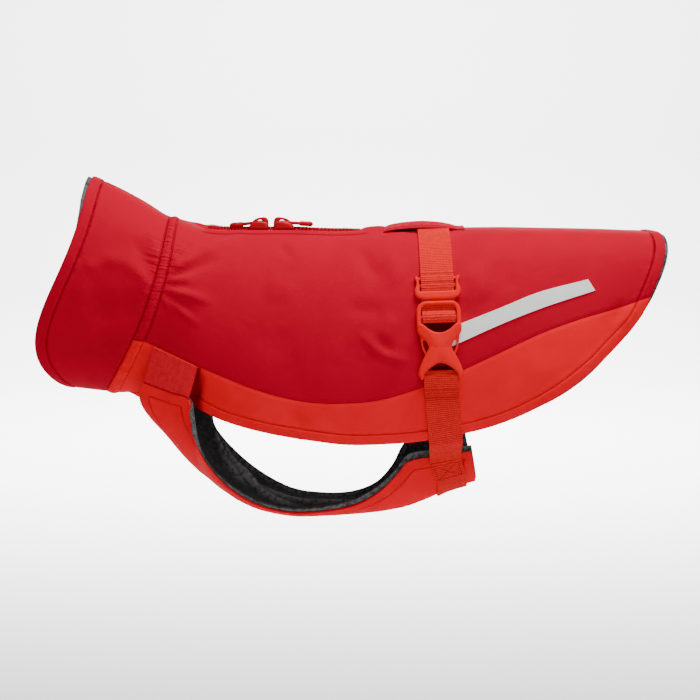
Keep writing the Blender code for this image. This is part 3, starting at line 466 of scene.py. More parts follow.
def wall(name, outer, inner, maps):
    """One sheet of cloth; maps is a dictionary of arrays, two numbers for each grid point."""
    rows, cols = outer.shape[:2]
    under = rows * cols
    at = np.arange(under).reshape(rows, cols)
    top = np.stack([at[:-1, :-1], at[:-1, 1:], at[1:, 1:], at[1:, :-1]], -1).reshape(-1, 4)
    faces = [top, top[:, ::-1] + under]
    for rim, flip in ((at[0], 1), (at[-1], -1), (at[:, 0], -1), (at[:, -1], 1)):
        p, q = rim[:-1], rim[1:]
        faces.append(np.stack([q, p, p + under, q + under], -1)[:, ::flip])
    faces = np.concatenate(faces)
    verts = np.concatenate([outer.reshape(-1, 3), inner.reshape(-1, 3)])
    a, b, c, d = np.moveaxis(verts[faces], 1, 0)
    if np.einsum("ij,ij->", a, np.cross(b, c) + np.cross(c, d)) < 0:
        faces = faces[:, ::-1]
    mesh = bpy.data.meshes.new(name)
    mesh.from_pydata(verts.tolist(), [], faces.tolist())
    loops = np.empty(len(mesh.loops), np.int32)
    mesh.loops.foreach_get("vertex_index", loops)
    for key, values in maps.items():
        flat = np.concatenate([values.reshape(-1, 2)] * 2)
        layer = mesh.uv_layers.new(name=key)
        layer.data.foreach_set("uv", flat[loops].astype(np.float32).ravel())
    mesh.shade_smooth()
    mesh.set_sharp_from_angle(angle=math.radians(60))
    return add_object(name, mesh)


def grid_area(points):
    """The area of one face of a sheet, in square metres."""
    across = points[:-1, 1:] - points[:-1, :-1]
    along = points[1:, :-1] - points[:-1, :-1]
    return float(np.linalg.norm(np.cross(across, along), axis=-1).sum())


# %% Distance from a sewn edge
AT_ONCE = 4000


def edge_map(points, *lines):
    """For each point, how far it is from the nearest of the lines, and how far along it."""
    flat = points.reshape(-1, 3)
    best = np.full(len(flat), 9.0)
    run = np.zeros(len(flat))
    for line in lines:
        places = running(line)
        for start in range(0, len(flat), AT_ONCE):
            part = slice(start, start + AT_ONCE)
            near = np.linalg.norm(flat[part, None] - line[None], axis=2).argmin(1)
            near = np.clip(near, 1, len(line) - 2)
            way = line[near + 1] - line[near - 1]
            size = np.linalg.norm(way, axis=1)
            along = np.einsum("ij,ij->i", flat[part] - line[near], way) / size
            foot = line[near] + way * (along / size)[:, None]
            away = np.linalg.norm(flat[part] - foot, axis=1)
            closer = away < best[part]
            best[part] = np.where(closer, away, best[part])
            run[part] = np.where(closer, places[near] + along, run[part])
    return pair(best, run).reshape(*points.shape[:-1], 2)


def spread(low, high, step):
    """Evenly spaced numbers from low to high, about a step apart."""
    return np.linspace(low, high, max(2, int(round((high - low) / step)) + 1))

# %% [markdown]
# ## Writing materials as expressions
#
# A material is a small graph of nodes. Writing each node by hand hides the idea, so the class
# Wire wraps one socket and lets ordinary arithmetic add the Math nodes: 1 - mask * 0.5 works.
# Finish holds one material and makes any other node from its type, settings and sockets.

# %% Wire and Finish
def arithmetic(operation, swapped=False):
    """A method of Wire that adds one Math node."""
    def apply(self, other):
        return self.finish.math(operation, *((other, self) if swapped else (self, other)))

    return apply


class Wire:
    """The value of one socket; arithmetic on it adds Math nodes."""

    def __init__(self, finish, socket):
        self.finish, self.socket = finish, socket

    __add__ = __radd__ = arithmetic("ADD")
    __mul__ = __rmul__ = arithmetic("MULTIPLY")
    __sub__ = arithmetic("SUBTRACT")
    __rsub__ = arithmetic("SUBTRACT", swapped=True)
    __truediv__ = arithmetic("DIVIDE")


class Finish:
    """One material and its slot; node() makes any node, the other methods are short names."""

    def __init__(self, name, slot, **inputs):
        self.slot = slot
        self.material = bpy.data.materials.new(name)
        self.material.use_nodes = True
        self.tree = self.material.node_tree
        self.shader = self.tree.nodes["Principled BSDF"]
        for key, value in inputs.items():
            self.shader.inputs[key.replace("_", " ")].default_value = value

    def node(self, kind, settings, sockets, output=0):
        made = self.tree.nodes.new(kind)
        for key, value in settings.items():
            setattr(made, key, value)
        for key, value in sockets.items():
            self.plug(made.inputs[key], value)
        return Wire(self, made.outputs[output])

    def plug(self, socket, value):
        if isinstance(value, Wire):
            self.tree.links.new(value.socket, socket)
        else:
            socket.default_value = value

    def math(self, operation, *values):
        return self.node("ShaderNodeMath", {"operation": operation}, dict(enumerate(values)))

    def colour(self, value):
        self.plug(self.shader.inputs["Base Color"], value)

    def mix(self, factor, first, second):
        """A colour between two others."""
        sockets = {0: factor, 6: first, 7: second}
        return self.node("ShaderNodeMix", {"data_type": "RGBA"}, sockets, 2)

    def map(self, key):
        """The two numbers of one of the sheet's maps."""
        vector = self.node("ShaderNodeUVMap", {"uv_map": key}, {})
        return [self.node("ShaderNodeSeparateXYZ", {}, {0: vector}, k) for k in (0, 1)]

    def place(self):
        """Where a point is in space, in metres."""
        return self.node("ShaderNodeTexCoord", {}, {}, 3)

    def noise(self, vector, scale, detail=2.0, roughness=0.5):
        sockets = {"Vector": vector, "Scale": scale, "Detail": detail, "Roughness": roughness}
        return self.node("ShaderNodeTexNoise", {}, sockets)

    def flat_noise(self, x, y, detail=1.0):
        """Noise over two numbers of a map."""
        vector = self.node("ShaderNodeCombineXYZ", {}, {0: x, 1: y, 2: 0.0})
        return self.noise(vector, 1.0, detail)

    def rise(self, value, low, high):
        """0 below low and 1 above high, smooth between."""
        settings = {"interpolation_type": "SMOOTHSTEP"}
        sockets = {"Value": value, "From Min": low, "From Max": high}
        return self.node("ShaderNodeMapRange", settings, sockets)

    def near(self, value, middle, width):
        """1 at the middle, falling smoothly to 0 a width away."""
        return 1 - self.rise(self.math("ABSOLUTE", value - middle), 0.0, width)

    def wave(self, value, period):
        """A wave between 0 and 1 along a value."""
        return self.math("SINE", value * (2 * math.pi / period)) * 0.5 + 0.5

    def relief(self, height):
        """Bumps of a given height, in metres."""
        sockets = {"Height": height, "Distance": 1.0, "Strength": 1.0}
        self.plug(self.shader.inputs["Normal"], self.node("ShaderNodeBump", {}, sockets))


def rgb(red, green, blue):
    return red, green, blue, 1.0


def tint(colour, by):
    """A colour that is made darker or lighter."""
    return rgb(*(min(1.0, c * by) for c in colour[:3]))

# %% [markdown]
# ## Softshell
#
# Softshell is a smooth woven face bonded to fleece. From a step away the weave is only a faint
# grain, and what the eye reads are the sewn lines: a turned band along each edge, held by one
# row of stitches that sits in a groove, with small puckers where the thread pulls. All of that
# is drawn from the "edge" map, so it follows every curved hem by itself. The groove is painted
# a little darker as painted shade, and a map of painted shade darkens the cloth where it lies
# in deep shade.

# %% Softshell finish
BAND, COLLAR_BAND = 0.0083, 0.0094
STITCH = 0.0026
WELT_LINE = 0.0180
CLOTH_LOOK = {"Roughness": 0.62, "IOR": 1.06}
DEEP_SHADE = 0.22
CRIMSON = ("crimson_softshell", rgb(0.46, 0.0002, 0.0190), rgb(0.49, 0.0003, 0.0205),
           rgb(0.28, 0.0003, 0.0090))
ORANGE = ("orange_softshell", rgb(0.84, 0.0020, 0.0150), rgb(0.92, 0.0040, 0.0180),
          rgb(0.52, 0.0020, 0.0070))


def dashes(finish, run):
    """The threads of a row of stitches."""
    return finish.rise(finish.wave(run, STITCH), 0.25, 0.5)


def softshell(name, cloth, extra=None, turned=BAND, shaded=False):
    slot, base, lit, thread = cloth
    finish = Finish(name, slot, **CLOTH_LOOK)
    away, run = finish.map("edge")
    u, v = finish.map("cloth")
    place = finish.place()
    groove = finish.near(away, turned, 0.0010)
    stitch = finish.near(away, turned, 0.0004) * dashes(finish, run)
    band = 1 - finish.rise(away, turned - 0.0012, turned)
    pucker = finish.flat_noise(run * 150.0, away * 60.0) * finish.near(away, turned, 0.0055)
    grain = finish.flat_noise(u * 2600.0, v * 2600.0)
    soft = finish.noise(place, 34.0)
    fine = finish.noise(place, 120.0)
    height = grain * 0.00006 + soft * 0.0008 + fine * 0.0003 + pucker * 0.0009 + band * 0.00045
    height = height + stitch * 0.0002 - groove * 0.00055
    if extra:
        more_height, more_thread = extra(finish, u, v)
        height = height + more_height
        stitch = finish.math("MAXIMUM", stitch, more_thread)
    finish.relief(height)
    tone = finish.mix(finish.rise(soft + grain * 0.25, 0.4, 0.85), base, lit)
    # Painted shade: the groove along the stitch row is painted towards the thread colour.
    tone = finish.mix(groove * 0.35, tone, thread)
    tone = finish.mix(stitch * 0.7, tone, thread)
    # Painted shade from the map, where the cloth lies in deep shade.
    if shaded:
        tone = finish.mix(finish.map("recess")[0], tone, tint(thread, DEEP_SHADE))
    finish.colour(tone)
    return finish


def gathers(finish, u, v, where, seam):
    """Wrinkles that run away from the gathered band, strongest high on the side, and the seam
    with its stitches beside the band."""
    side = finish.math("ABSOLUTE", v)
    wide = finish.flat_noise(v * 210.0, u * 38.0, 1.5)
    narrow = finish.flat_noise(v * 520.0, u * 90.0)
    wrinkles = (wide * 0.0018 + narrow * 0.0007) * finish.near(side, 0.058, 0.060)
    sewn = finish.near(u, seam, 0.0012)
    return wrinkles * where - sewn * 0.0006, sewn * (0.5 + finish.wave(v, STITCH) * 0.5)


def zip_welt(finish, u, v):
    """Two rows of stitches beside the zip, and the fine gathers behind the neck band."""
    side = finish.math("ABSOLUTE", v)
    along = finish.rise(u, ZIP_FROM - 0.006, ZIP_FROM - 0.004)
    along = along * (1 - finish.rise(u, ZIP_TO + 0.003, ZIP_TO + 0.005))
    line = finish.near(side, WELT_LINE, 0.0010) * along
    thread = finish.near(side, WELT_LINE, 0.0007) * along * dashes(finish, u)
    behind = 1 - finish.rise(u, BODY_START, BODY_START + 0.022)
    height, sewn = gathers(finish, u, v, behind, BODY_START + 0.0006)
    return height - line * 0.0009, finish.math("MAXIMUM", thread, sewn)


crimson_back = softshell("crimson_softshell_back", CRIMSON, zip_welt, shaded=True)
orange_side = softshell("orange_softshell_side", ORANGE, shaded=True)
print("softshell finishes made")


# %% Putting a sheet into the frame
def sew(name, faces, maps, finish, node, flat, area=None):
    """Builds a sheet with its finish and body and hides the solid part node; flat and area are not
    used.
    """
    obj = wall(name, *faces, maps)
    obj.data.materials.append(finish.material)
    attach(obj, "coat")
    if node:
        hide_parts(node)
    if area:
        area = min(area, flat[0] * flat[1])
    print(name, len(obj.data.polygons) * 2, "triangles")

# %% [markdown]
# ## Back and side panels
#
# The back is one piece from seam to seam; each side panel runs from the seam to the hem and
# meets its twin under the throat. Rows of the grid follow the stations and columns share out
# the length between two seams, so the edges of the mesh are the edges of the cut cloth. The
# pull of the elastic leaves a hollow fold behind it, and the dark there is painted shade, as is
# the dark on the back behind the buckle's openings and under the belt's loop.

# %% Rows and columns that crowd where the cloth bends
EDGE_PLAY = 0.0120


def crowded(marks, steps):
    """Numbers from mark to mark, each stretch divided evenly into its own count of steps."""
    stretches = zip(marks[:-1], marks[1:], steps)
    parts = [np.linspace(low, high, count, endpoint=False, axis=-1) for low, high, count in stretches]
    return np.concatenate([*parts, np.expand_dims(marks[-1], -1)], axis=-1)


body_start = BODY_START + SEAM_GAP / 2
body_rows = crowded([body_start, 0.1000, TAIL_END - EDGE_PLAY, TAIL_END], [14, 165, 15])


def turned_edge(away, band=BAND):
    """The rounded band of a turned edge and the groove that its stitches pull in."""
    share = np.clip(away / band, 0, 1)
    puff = 0.0007 * np.sin(math.pi * share) ** 0.6 * (away < band)
    return puff - 0.0006 * np.exp(-((away - band) / 0.0008) ** 2)


def seam_dip(away):
    """The cloth sinks a little beside the seam between back and side."""
    return -0.0005 * np.exp(-(away / 0.0016) ** 2)


# %% Heights of the belt's fittings
def length_at(z):
    """How far along the cloth from the spine a height z lies, below the belt."""
    ring = int(round((BELT_STATION - STATIONS[0]) / (STATIONS[1] - STATIONS[0])))
    half = GRID[ring, MIDDLE:]
    return float(np.interp(-z, -half[:, 2], ACROSS[MIDDLE:])) * float(whole_length(BELT_STATION))


GLIDE, BUCKLE = length_at(TRIGLIDE_TOP_Z), length_at(BUCKLE_TOP_Z)
LOOP_HALF = 0.0190
print("adjuster from", round(GLIDE, 4), "and buckle from", round(BUCKLE, 4), "below the spine")


# %% Back panel
def under_belt(station, length):
    """A map of the cloth in deep shade behind the buckle's openings and under the loop."""
    down, across = np.abs(length), station - BELT_STATION
    openings = np.exp(-((down - BUCKLE - 0.0520) / 0.0050) ** 4)
    openings = openings + np.exp(-((down - BUCKLE - 0.0205) / 0.0045) ** 6)
    openings = openings * np.exp(-(across / (WEBBING_WIDTH / 2)) ** 6)
    reach = np.interp(across, [-0.0260, -0.0125, 0.0125, 0.0190], [-0.0008, 0.0056, 0.0026, -0.0008])
    loop = np.clip((LOOP_HALF + reach - down) / 0.0012 + 0.5, 0, 1)
    loop = loop * (across > -0.0300) * (across < 0.0190)
    return pair(np.maximum(0.95 * openings, 0.80 * loop))


def welt_lift(station, length):
    """The two welts that stand up beside the zip, with a groove along their stitches, and the
    thick end where they meet behind the zip."""
    side = np.abs(length)
    fade = np.clip((station - ZIP_FROM + 0.004) / 0.006, 0, 1)
    fade = fade * np.clip((ZIP_TO + 0.009 - station) / 0.008, 0, 1)
    places = [0, 0.0040, 0.0062, 0.0090, 0.0130, 0.0168, WELT_LINE, 0.0192, 0.3]
    heights = [0, 0, 0.0013, 0.0017, 0.0016, 0.0008, -0.0005, 0, 0]
    sewn_end = np.exp(-((station - ZIP_TO - 0.0098) / 0.0122) ** 4 - (side / 0.0130) ** 4)
    return np.maximum(fade * np.interp(side, places, heights), 0.0035 * sewn_end)


def back_panel():
    half = seam_length(body_rows) - SEAM_GAP / 2
    right = crowded([0 * half, 0 * half + 0.0210, half - 0.0080, half], (24, 46, 7))
    lengths = np.concatenate([-right[:, :0:-1], right], axis=1)
    station = body_rows[:, None]
    flat_face = coat(station, lengths)
    edge = edge_map(flat_face, coat(TAIL_END, np.linspace(-0.2, 0.2, 400)))
    lift = seam_dip(half[:, None] - np.abs(lengths)) + welt_lift(station, lengths)
    faces = layers(station, lengths, lift + turned_edge(edge[..., 0]), SHELL)
    maps = {"cloth": pair(station, lengths), "edge": edge, "recess": under_belt(station, lengths)}
    flat = (2 * float(half.max()), TAIL_END - BODY_START)
    sew("shell_back", faces, maps, crimson_back, "back_panel", flat,
        grid_area(flat_face))


back_panel()


# %% Side panels
def beside_elastic(points):
    """A map of the hollow behind the elastic's rear edge, where the cloth lies in deep shade."""
    x, z = points[..., 0], points[..., 2]
    down = np.clip((-0.0985 - z) / 0.0290, 0, 1.2)
    rear_edge = -0.1172 - 0.0060 * down
    reach = 0.0008 + 0.0092 * down
    share = np.clip(1 - (x - rear_edge - 0.45 * reach) / (0.55 * reach), 0, 1)
    front = np.clip((x - rear_edge + 0.008) / 0.004, 0, 1)
    return pair(0.85 * share * share * (3 - 2 * share) * front * (down > 0))


def side_panel(side, hand):
    slit = np.where(body_rows <= THROAT_END, SEAM_GAP / 2, 0.0)
    low = (hem_length(body_rows) - slit)[:, None]
    high = seam_length(body_rows)[:, None] + SEAM_GAP / 2
    lengths = high + (low - high) * crowded([0.0, 0.12, 0.62, 1.0], [6, 16, 20])
    station = body_rows[:, None]
    hem_rows = np.linspace(THROAT_END + 0.002, TAIL_END, 500)
    hem = coat(hem_rows, side * hem_length(hem_rows))
    rear = coat(TAIL_END, side * np.linspace(0.02, float(hem_length(TAIL_END)), 160))
    edge = edge_map(coat(station, side * lengths), np.concatenate([hem, rear[::-1][1:]]))
    lift = seam_dip(lengths - high) + turned_edge(edge[..., 0])
    faces = layers(station, side * lengths, lift, SHELL)
    maps = {"cloth": pair(station, side * lengths), "edge": edge, "recess": beside_elastic(faces[0])}
    flat = (float((low - high).max()), TAIL_END - BODY_START)
    sew(f"shell_side_{hand}", faces, maps, orange_side, f"side_panel_{hand}", flat,
        max(grid_area(faces[0]), 0.31 * flat[0] * flat[1]))


both_sides(side_panel)

# %% [markdown]
# ## Fleece
#
# The lining is short brushed fleece. It shows at the collar's mouth, along the tail and hem
# and all over the inside. Its pile is far too fine to model, so a rough noise tilts the surface
# and a faint sheen gives the light halo that pile has at a grazing angle. A map of painted light
# makes the ridges of loose folds lighter, a painted highlight where they catch the light.


# %% Fleece finish
def fleece_finish(name, dark, light, rim):
    finish = Finish(name, "charcoal_fleece", Roughness=1.0, Sheen_Weight=0.08, Sheen_Roughness=0.7,
                    IOR=1.10)
    away, run = finish.map("edge")
    place = finish.place()
    pile = finish.noise(place, 900.0, 3.0, 0.7)
    clump = finish.noise(place, 300.0, 2.0, 0.6)
    worn = finish.noise(place, 45.0)
    finish.relief(pile * 0.0004 + clump * 0.0008 + worn * 0.0010)
    tone = finish.mix(finish.rise(pile * 0.5 + clump * 0.3 + worn * 0.2, 0.35, 0.7), dark, light)
    # Painted light: the ridges of loose folds are made lighter, broken up by the pile's clumps.
    raised = finish.map("raised")[0] * finish.rise(clump, 0.2, 0.6)
    tone = finish.mix(raised, tone, tint(light, 3.2))
    cut = finish.rise(clump * 0.6 + pile * 0.4, 0.42, 0.58) * (1 - finish.rise(away, 0.0042, 0.0058))
    finish.colour(finish.mix(cut, tone, rim))
    return finish


fleece = fleece_finish("charcoal_fleece_pile", rgb(0.018, 0.018, 0.019), rgb(0.100, 0.100, 0.103),
                       rgb(0.125, 0.125, 0.13))


# %% Body lining
PEEK = 0.0026


def body_lining():
    rows = crowded([body_start, TAIL_END - 0.006, TAIL_END + PEEK], [90, 8])
    past = PEEK * np.clip((rows - 0.36) / 0.06, 0, 1)
    slit = np.where(rows <= THROAT_END, SEAM_GAP / 2, -past)
    end = (hem_length(rows) - slit)[:, None]
    lengths = end * crowded([-1.0, -0.94, 0.94, 1.0], [8, 104, 8])
    station = rows[:, None]
    outer, inner = layers(station, lengths, LINING_FACE, FLEECE)
    maps = {"cloth": pair(station, lengths), "raised": pair(0 * lengths),
            "edge": edge_map(outer, outer[-1], outer[:, 0], outer[:, -1])}
    flat = (2 * float(end.max()), TAIL_END - BODY_START)
    sew("lining_body", (outer, inner), maps, fleece, "body_lining", flat,
        grid_area(outer))


body_lining()

# %% [markdown]
# ## Collar and neck band
#
# The collar is a funnel of the same softshell, open at the front, with its front edge turned
# in. Between collar and body runs a narrow channel with a hidden cord or elastic: the cloth is
# gathered on it, so the band puffs up between its two rows of stitches and throws fine wrinkles
# over the collar and the back. The collar's fleece runs on under the band to the body's lining.


# %% Collar and its lining
def collar_extra(finish, u, v):
    close = finish.rise(u, COLLAR_END - 0.018, COLLAR_END)
    return gathers(finish, u, v, close, COLLAR_END - 0.0006)


crimson_collar = softshell("crimson_softshell_collar", CRIMSON, collar_extra, COLLAR_BAND)


def collar_sheet(name, first, end, step, face, thick, count, finish, node):
    last = end - SEAM_GAP / 2
    rows = crowded([first, 0.0140, last], [16, int((last - 0.0140) / step)])
    lengths = whole_length(rows)[:, None] * np.linspace(-1, 1, count)
    tuck = 0.0048 * np.clip((np.abs(lengths) - 0.040) / 0.04, 0, 1) * (face < 0)
    station = rows[:, None] + tuck * (last - rows[:, None]) / last
    mouth = coat(first, whole_length(first) * np.linspace(-1, 1, 700))
    edge = edge_map(coat(station, lengths, face), mouth)
    lift = turned_edge(edge[..., 0], COLLAR_BAND) * (face == 0)
    faces = layers(station, lengths, face + lift, thick)
    maps = {"cloth": pair(station, lengths), "edge": edge, "raised": pair(0 * lengths)}
    girth = 2 * float(whole_length(rows).max())
    sew(name, faces, maps, finish, node, (girth, end), grid_area(faces[0]))


collar_sheet("collar_shell", 0.0015, COLLAR_END, 0.0018, 0.0, SHELL, 281, crimson_collar, "collar")
collar_sheet("collar_fleece", -0.0020, BODY_START, 0.0036, LINING_FACE, FLEECE, 161, fleece,
             "collar_lining")


# %% Neck band
BAND_CUT = 0.0105
TUCK = 0.0006
GAP_SHARE = 0.0015


def neck_band(name, low, high, count, finish, node, seed):
    """A stretch of the gathered band; low and high give its ends as shares of the ring."""
    start, end = COLLAR_END - TUCK, BODY_START + TUCK
    rows = np.linspace(start, end, 15)[:, None]
    split = seam_length(rows) / whole_length(rows)
    share = low(split) + (high(split) - low(split)) * np.linspace(0, 1, count)
    way = (rows - start) / (end - start)
    rng = np.random.default_rng(seed)
    ripple = 0.0
    for period in (0.0165, 0.011, 0.0072):
        phase, slant = rng.uniform(0, 2 * math.pi), rng.uniform(-1.5, 1.5)
        ripple = ripple + np.sin(2 * math.pi * share / period + phase + slant * way)
    uneven = 0.55 + 0.45 * np.sin(share * 9.0 + seed)
    puff = np.sin(math.pi * way) ** 0.7
    height = puff * (0.0019 + 0.00018 * ripple * uneven) - 0.0008
    lengths = share * whole_length(rows)
    faces = layers(rows, lengths, height, SHELL)
    edges = [coat(s, np.linspace(lengths[0, 0], lengths[0, -1], 500)) for s in (start, end)]
    maps = {"cloth": pair(rows, lengths), "edge": edge_map(faces[0], *edges)}
    flat = (1.15 * float(np.ptp(lengths[7])), BAND_CUT)
    sew(name, faces, maps, finish, node, flat,
        flat[0] * flat[1])


def band_finish(name, cloth):
    slot, base, lit, thread = cloth
    finish = Finish(name, slot, **CLOTH_LOOK)
    away, run = finish.map("edge")
    line = finish.near(away, 0.0008, 0.0006)
    wrinkle = finish.flat_noise(run * 380.0, away * 90.0)
    finish.relief(wrinkle * 0.0008 - line * 0.0004 + line * dashes(finish, run) * 0.0003)
    tone = finish.mix(finish.rise(wrinkle, 0.35, 0.7), base, lit)
    # The seam line by each edge is darker, partly from its thread and partly as painted shade in its
    # groove.
    finish.colour(finish.mix(line * 0.5, tone, thread))
    return finish


crimson_band = band_finish("crimson_gathered_band", CRIMSON)
orange_band = band_finish("orange_gathered_band", ORANGE)
neck_band("band_over", lambda k: -k + GAP_SHARE, lambda k: k - GAP_SHARE, 521, crimson_band,
          "neck_channel", 3)
neck_band("band_throat_left", lambda k: 0 * k - 1 + GAP_SHARE, lambda k: -k - GAP_SHARE, 121,
          orange_band, "neck_channel_throat_left", 5)
neck_band("band_throat_right", lambda k: k + GAP_SHARE, lambda k: 0 * k + 1 - GAP_SHARE, 121,
          orange_band, "neck_channel_throat_right", 8)

# %% [markdown]
# ## Belly panel
#
# The belly panel is a trough of softshell with two ears in front, which the elastics hold. Its
# fleece stands a few millimetres proud of the shell's edge, as the photograph shows at both
# sides of the leg opening.


# %% Soft folds in the belly panel's fleece
BUNCHES = (
    # section_from share_from section_to share_to reach height
    (4.4, 0.90, 6.3, 0.46, 0.50, 0.0036),
    (5.4, 0.97, 7.2, 0.60, 0.42, 0.0038),
    (7.0, 0.66, 8.6, 0.30, 0.34, 0.0036),
    (8.2, 0.62, 10.4, 0.52, 0.36, 0.0026),
    (11.2, 0.46, 13.2, 0.66, 0.40, 0.0030),
    (5.6, -0.30, 8.4, -0.10, 0.60, 0.0018),
)
SHARE_SIZE = 5  # as far as so many sections


def bunched(section, share):
    """How far the loose fleece stands off the shell."""
    lift = 0.0
    for s0, u0, s1, u1, reach, height in BUNCHES:
        way = np.array([s1 - s0, (u1 - u0) * SHARE_SIZE])
        ds, du = section - s0, (share - u0) * SHARE_SIZE
        along = np.clip((ds * way[0] + du * way[1]) / (way @ way), 0, 1)
        away = np.hypot(ds - along * way[0], du - along * way[1])
        lift = lift + height * np.exp(-(away / reach) ** 2)
    return lift


# %% Belly shell and fleece
def belly_sheet(name, face, thick, first, last, rim, finish, node):
    sections = spread(first, last, 0.11)
    shares = np.linspace(-1, 1, 71)
    section = sections[:, None]
    if rim:
        half, wrap = hermite(BELLY_ROWS[:, 0], BELLY_ROWS[:, 5:7], sections).T
        shown = np.clip((sections - EAR_SECTIONS) / 3.5, 0.06, 1.0)
        reach = 1 + shown * rim * np.tan(np.radians(wrap) / 2) / half
        share = reach[:, None] * shares
        loose = bunched(section, share)
    else:
        short = 0.11 * np.exp(-((section - 9.4) / 2.6) ** 4)
        share = shares - short * np.minimum(shares, 0.0)
        loose = 0.0 * share
    outer, inner = belly(section, share, face), belly(section, share, face - thick - loose)
    side_lines = [belly(sections, side * np.abs(share[:, 0]), face) for side in (-1, 1)]
    ends = [belly(s, share[k], face) for s, k in ((first, 0), (last, -1))]
    width, length = running(outer, 1), running(outer[:, 35])
    # The map of painted light follows how far the loose fleece stands off the shell.
    maps = {"cloth": pair(length[:, None], width - width[:, 35:36]),
            "edge": edge_map(outer, *side_lines, *ends), "raised": pair(np.clip(loose / 0.0040, 0, 1))}
    flat = (float(width[:, -1].max()), float(length[-1]))
    sew(name, (outer, inner), maps, finish, node, flat, grid_area(outer))


orange_belly = softshell("orange_softshell_belly", ORANGE)
belly_sheet("belly_shell", 0.0, SHELL, 0.0, 17.0, 0.0, orange_belly, "belly_panel")
belly_sheet("belly_fleece", LINING_FACE - SEAM_GAP, FLEECE, -0.06, 17.06, FLEECE_RIM, fleece,
            "belly_lining")

# %% [markdown]
# ## Elastic and webbing
#
# Both are woven narrow goods with ribs across their width. The ribs are real relief at a pitch
# of about a millimetre, so they are drawn as a bump along the strap's own length; their crests
# are also painted lighter and their troughs darker, as painted light and shade. A map of painted
# shade darkens the cloth where it dives under a bar or below a sewn layer.


# %% Woven finish
def woven(name, slot, base, lit, dark, rib, cord, height):
    """Ribs across a strap at the pitch rib, crossed by fine warp cords at the pitch cord."""
    finish = Finish(name, slot, **CLOTH_LOOK)
    along, across = finish.map("cloth")
    wander = finish.flat_noise(across * 160.0, along * 60.0)
    ribs = finish.wave(along + wander * (rib * 0.5), rib)
    step = finish.math("FLOOR", across / cord) * (rib * 0.5)
    brick = finish.wave(along + step + wander * (rib * 0.4), rib * 0.5)
    cords = finish.wave(across, cord)
    finish.relief(ribs * height + brick * (height * 0.45) + cords * (height * 0.5))
    patch = finish.noise(finish.place(), 260.0, 2.0, 0.6)
    # Painted light and shade: lighter on the crests of ribs, cords and bricks, darker in their troughs;
    # the patch is a random tone.
    shade = ribs * 0.45 + cords * 0.15 + brick * 0.25 + patch * 0.25
    tone = finish.mix(finish.rise(shade, 0.15, 0.95), dark, lit)
    tone = finish.mix(finish.rise(patch, 0.3, 0.8) * 0.5, tone, base)
    # Painted shade from the map, towards a deep shade of the dark colour.
    finish.colour(finish.mix(finish.map("recess")[0], tone, tint(dark, 0.10)))
    return finish


webbing = woven("orange_webbing_weave", "orange_webbing", rgb(0.86, 0.012, 0.018),
                rgb(1.0, 0.036, 0.020), rgb(0.50, 0.002, 0.016), 0.0016, 0.0012, 0.00030)
elastic = woven("crimson_elastic_weave", "woven_elastic", rgb(1.0, 0.006, 0.030),
                rgb(1.0, 0.020, 0.040), rgb(0.56, 0.001, 0.015), 0.0013, 0.0013, 0.00042)


def recess(*amounts):
    """The map of painted shade, from 0 to 1, where the cloth lies deep."""
    return pair(np.clip(sum(amounts), 0, 1))


def close_to(value, middle, width):
    return np.exp(-((value - middle) / width) ** 4)


# %% Finding a place by the side view
def side_place(x, z):
    """Station and length of the coat's points that show at x, z from the side."""
    x, z = np.broadcast_arrays(np.asarray(x, float), np.asarray(z, float))
    half = GRID[:, MIDDLE:]
    stations, lengths = np.empty(x.shape), np.empty(x.shape)
    for k in np.ndindex(x.shape):
        at_z = [np.interp(-z[k], -ring[:, 2], ring[:, 0]) for ring in half]
        stations[k] = np.interp(x[k], at_z, STATIONS)
        share = [np.interp(-z[k], -ring[:, 2], ACROSS[MIDDLE:]) for ring in half]
        lengths[k] = np.interp(stations[k], STATIONS, share) * whole_length(stations[k])
    return stations, lengths


# %% Elastics
ELASTIC_FRONT, ELASTIC_REAR = -0.1522, -0.1178


def elastic_strap(side, hand):
    columns = np.linspace(0, 1, 31)
    x = ELASTIC_FRONT + (ELASTIC_REAR - ELASTIC_FRONT) * columns
    z = np.interp(x, SMOOTH_SEAM[:, 0], SMOOTH_SEAM[:, 1]) - 0.0006
    station, length = side_place(x, z)
    faces = []
    for out in (WEBBING + CLEAR, CLEAR):
        top = coat(station, side * length, out)
        low = belly(EAR_SECTIONS * columns, float(side), out - WEBBING - CLEAR)
        way = top - low
        low = low + way / np.linalg.norm(way, axis=1)[:, None] * SEAM_GAP
        down = np.linspace(0, 1, 33)[None, :, None]
        faces.append(top[:, None] + (low - top)[:, None] * down)
    drop = np.linalg.norm(faces[0] - faces[0][:, :1], axis=2)
    wide = running(faces[0])
    # Painted shade along the elastic's low end, where it meets the belly panel's ear.
    maps = {"cloth": pair(drop, wide), "recess": recess(0.6 * close_to(drop, drop[:, -1:], 0.0010))}
    flat = (float(wide[-1].max()), float(drop.max()))
    sew(f"elastic_strap_{hand}", faces, maps, elastic, f"elastic_{hand}", flat)


both_sides(elastic_strap)

# %% [markdown]
# ## The belt
#
# One length of webbing runs over the back and, on each side, over the adjuster's bars and round
# the bar of the buckle. A second length hangs from one buckle's socket, passes under the belly
# panel and comes up to the other. Each is a strip that is swept along a path of lengths and
# heights over the cloth.

# %% Upper belt
def track(points, count):
    """Evenly spaced points of a smooth path."""
    fine = smooth_line(points, 12)
    step = running(fine)
    even = np.linspace(0, step[-1], count)
    return np.column_stack([np.interp(even, step, fine[:, k]) for k in (0, 1)])


def belt_across(count):
    return np.linspace(-WEBBING_WIDTH / 2, WEBBING_WIDTH / 2, count)


def strip_faces(way, thickness):
    """Both faces of a strip that follows a path of lengths and heights."""
    along = np.gradient(way, axis=0)
    along /= np.linalg.norm(along, axis=1)[:, None]
    normal = np.column_stack([-along[:, 1], along[:, 0]])
    return [np.split(face, 2, axis=1) for face in (way + normal * thickness, way)]


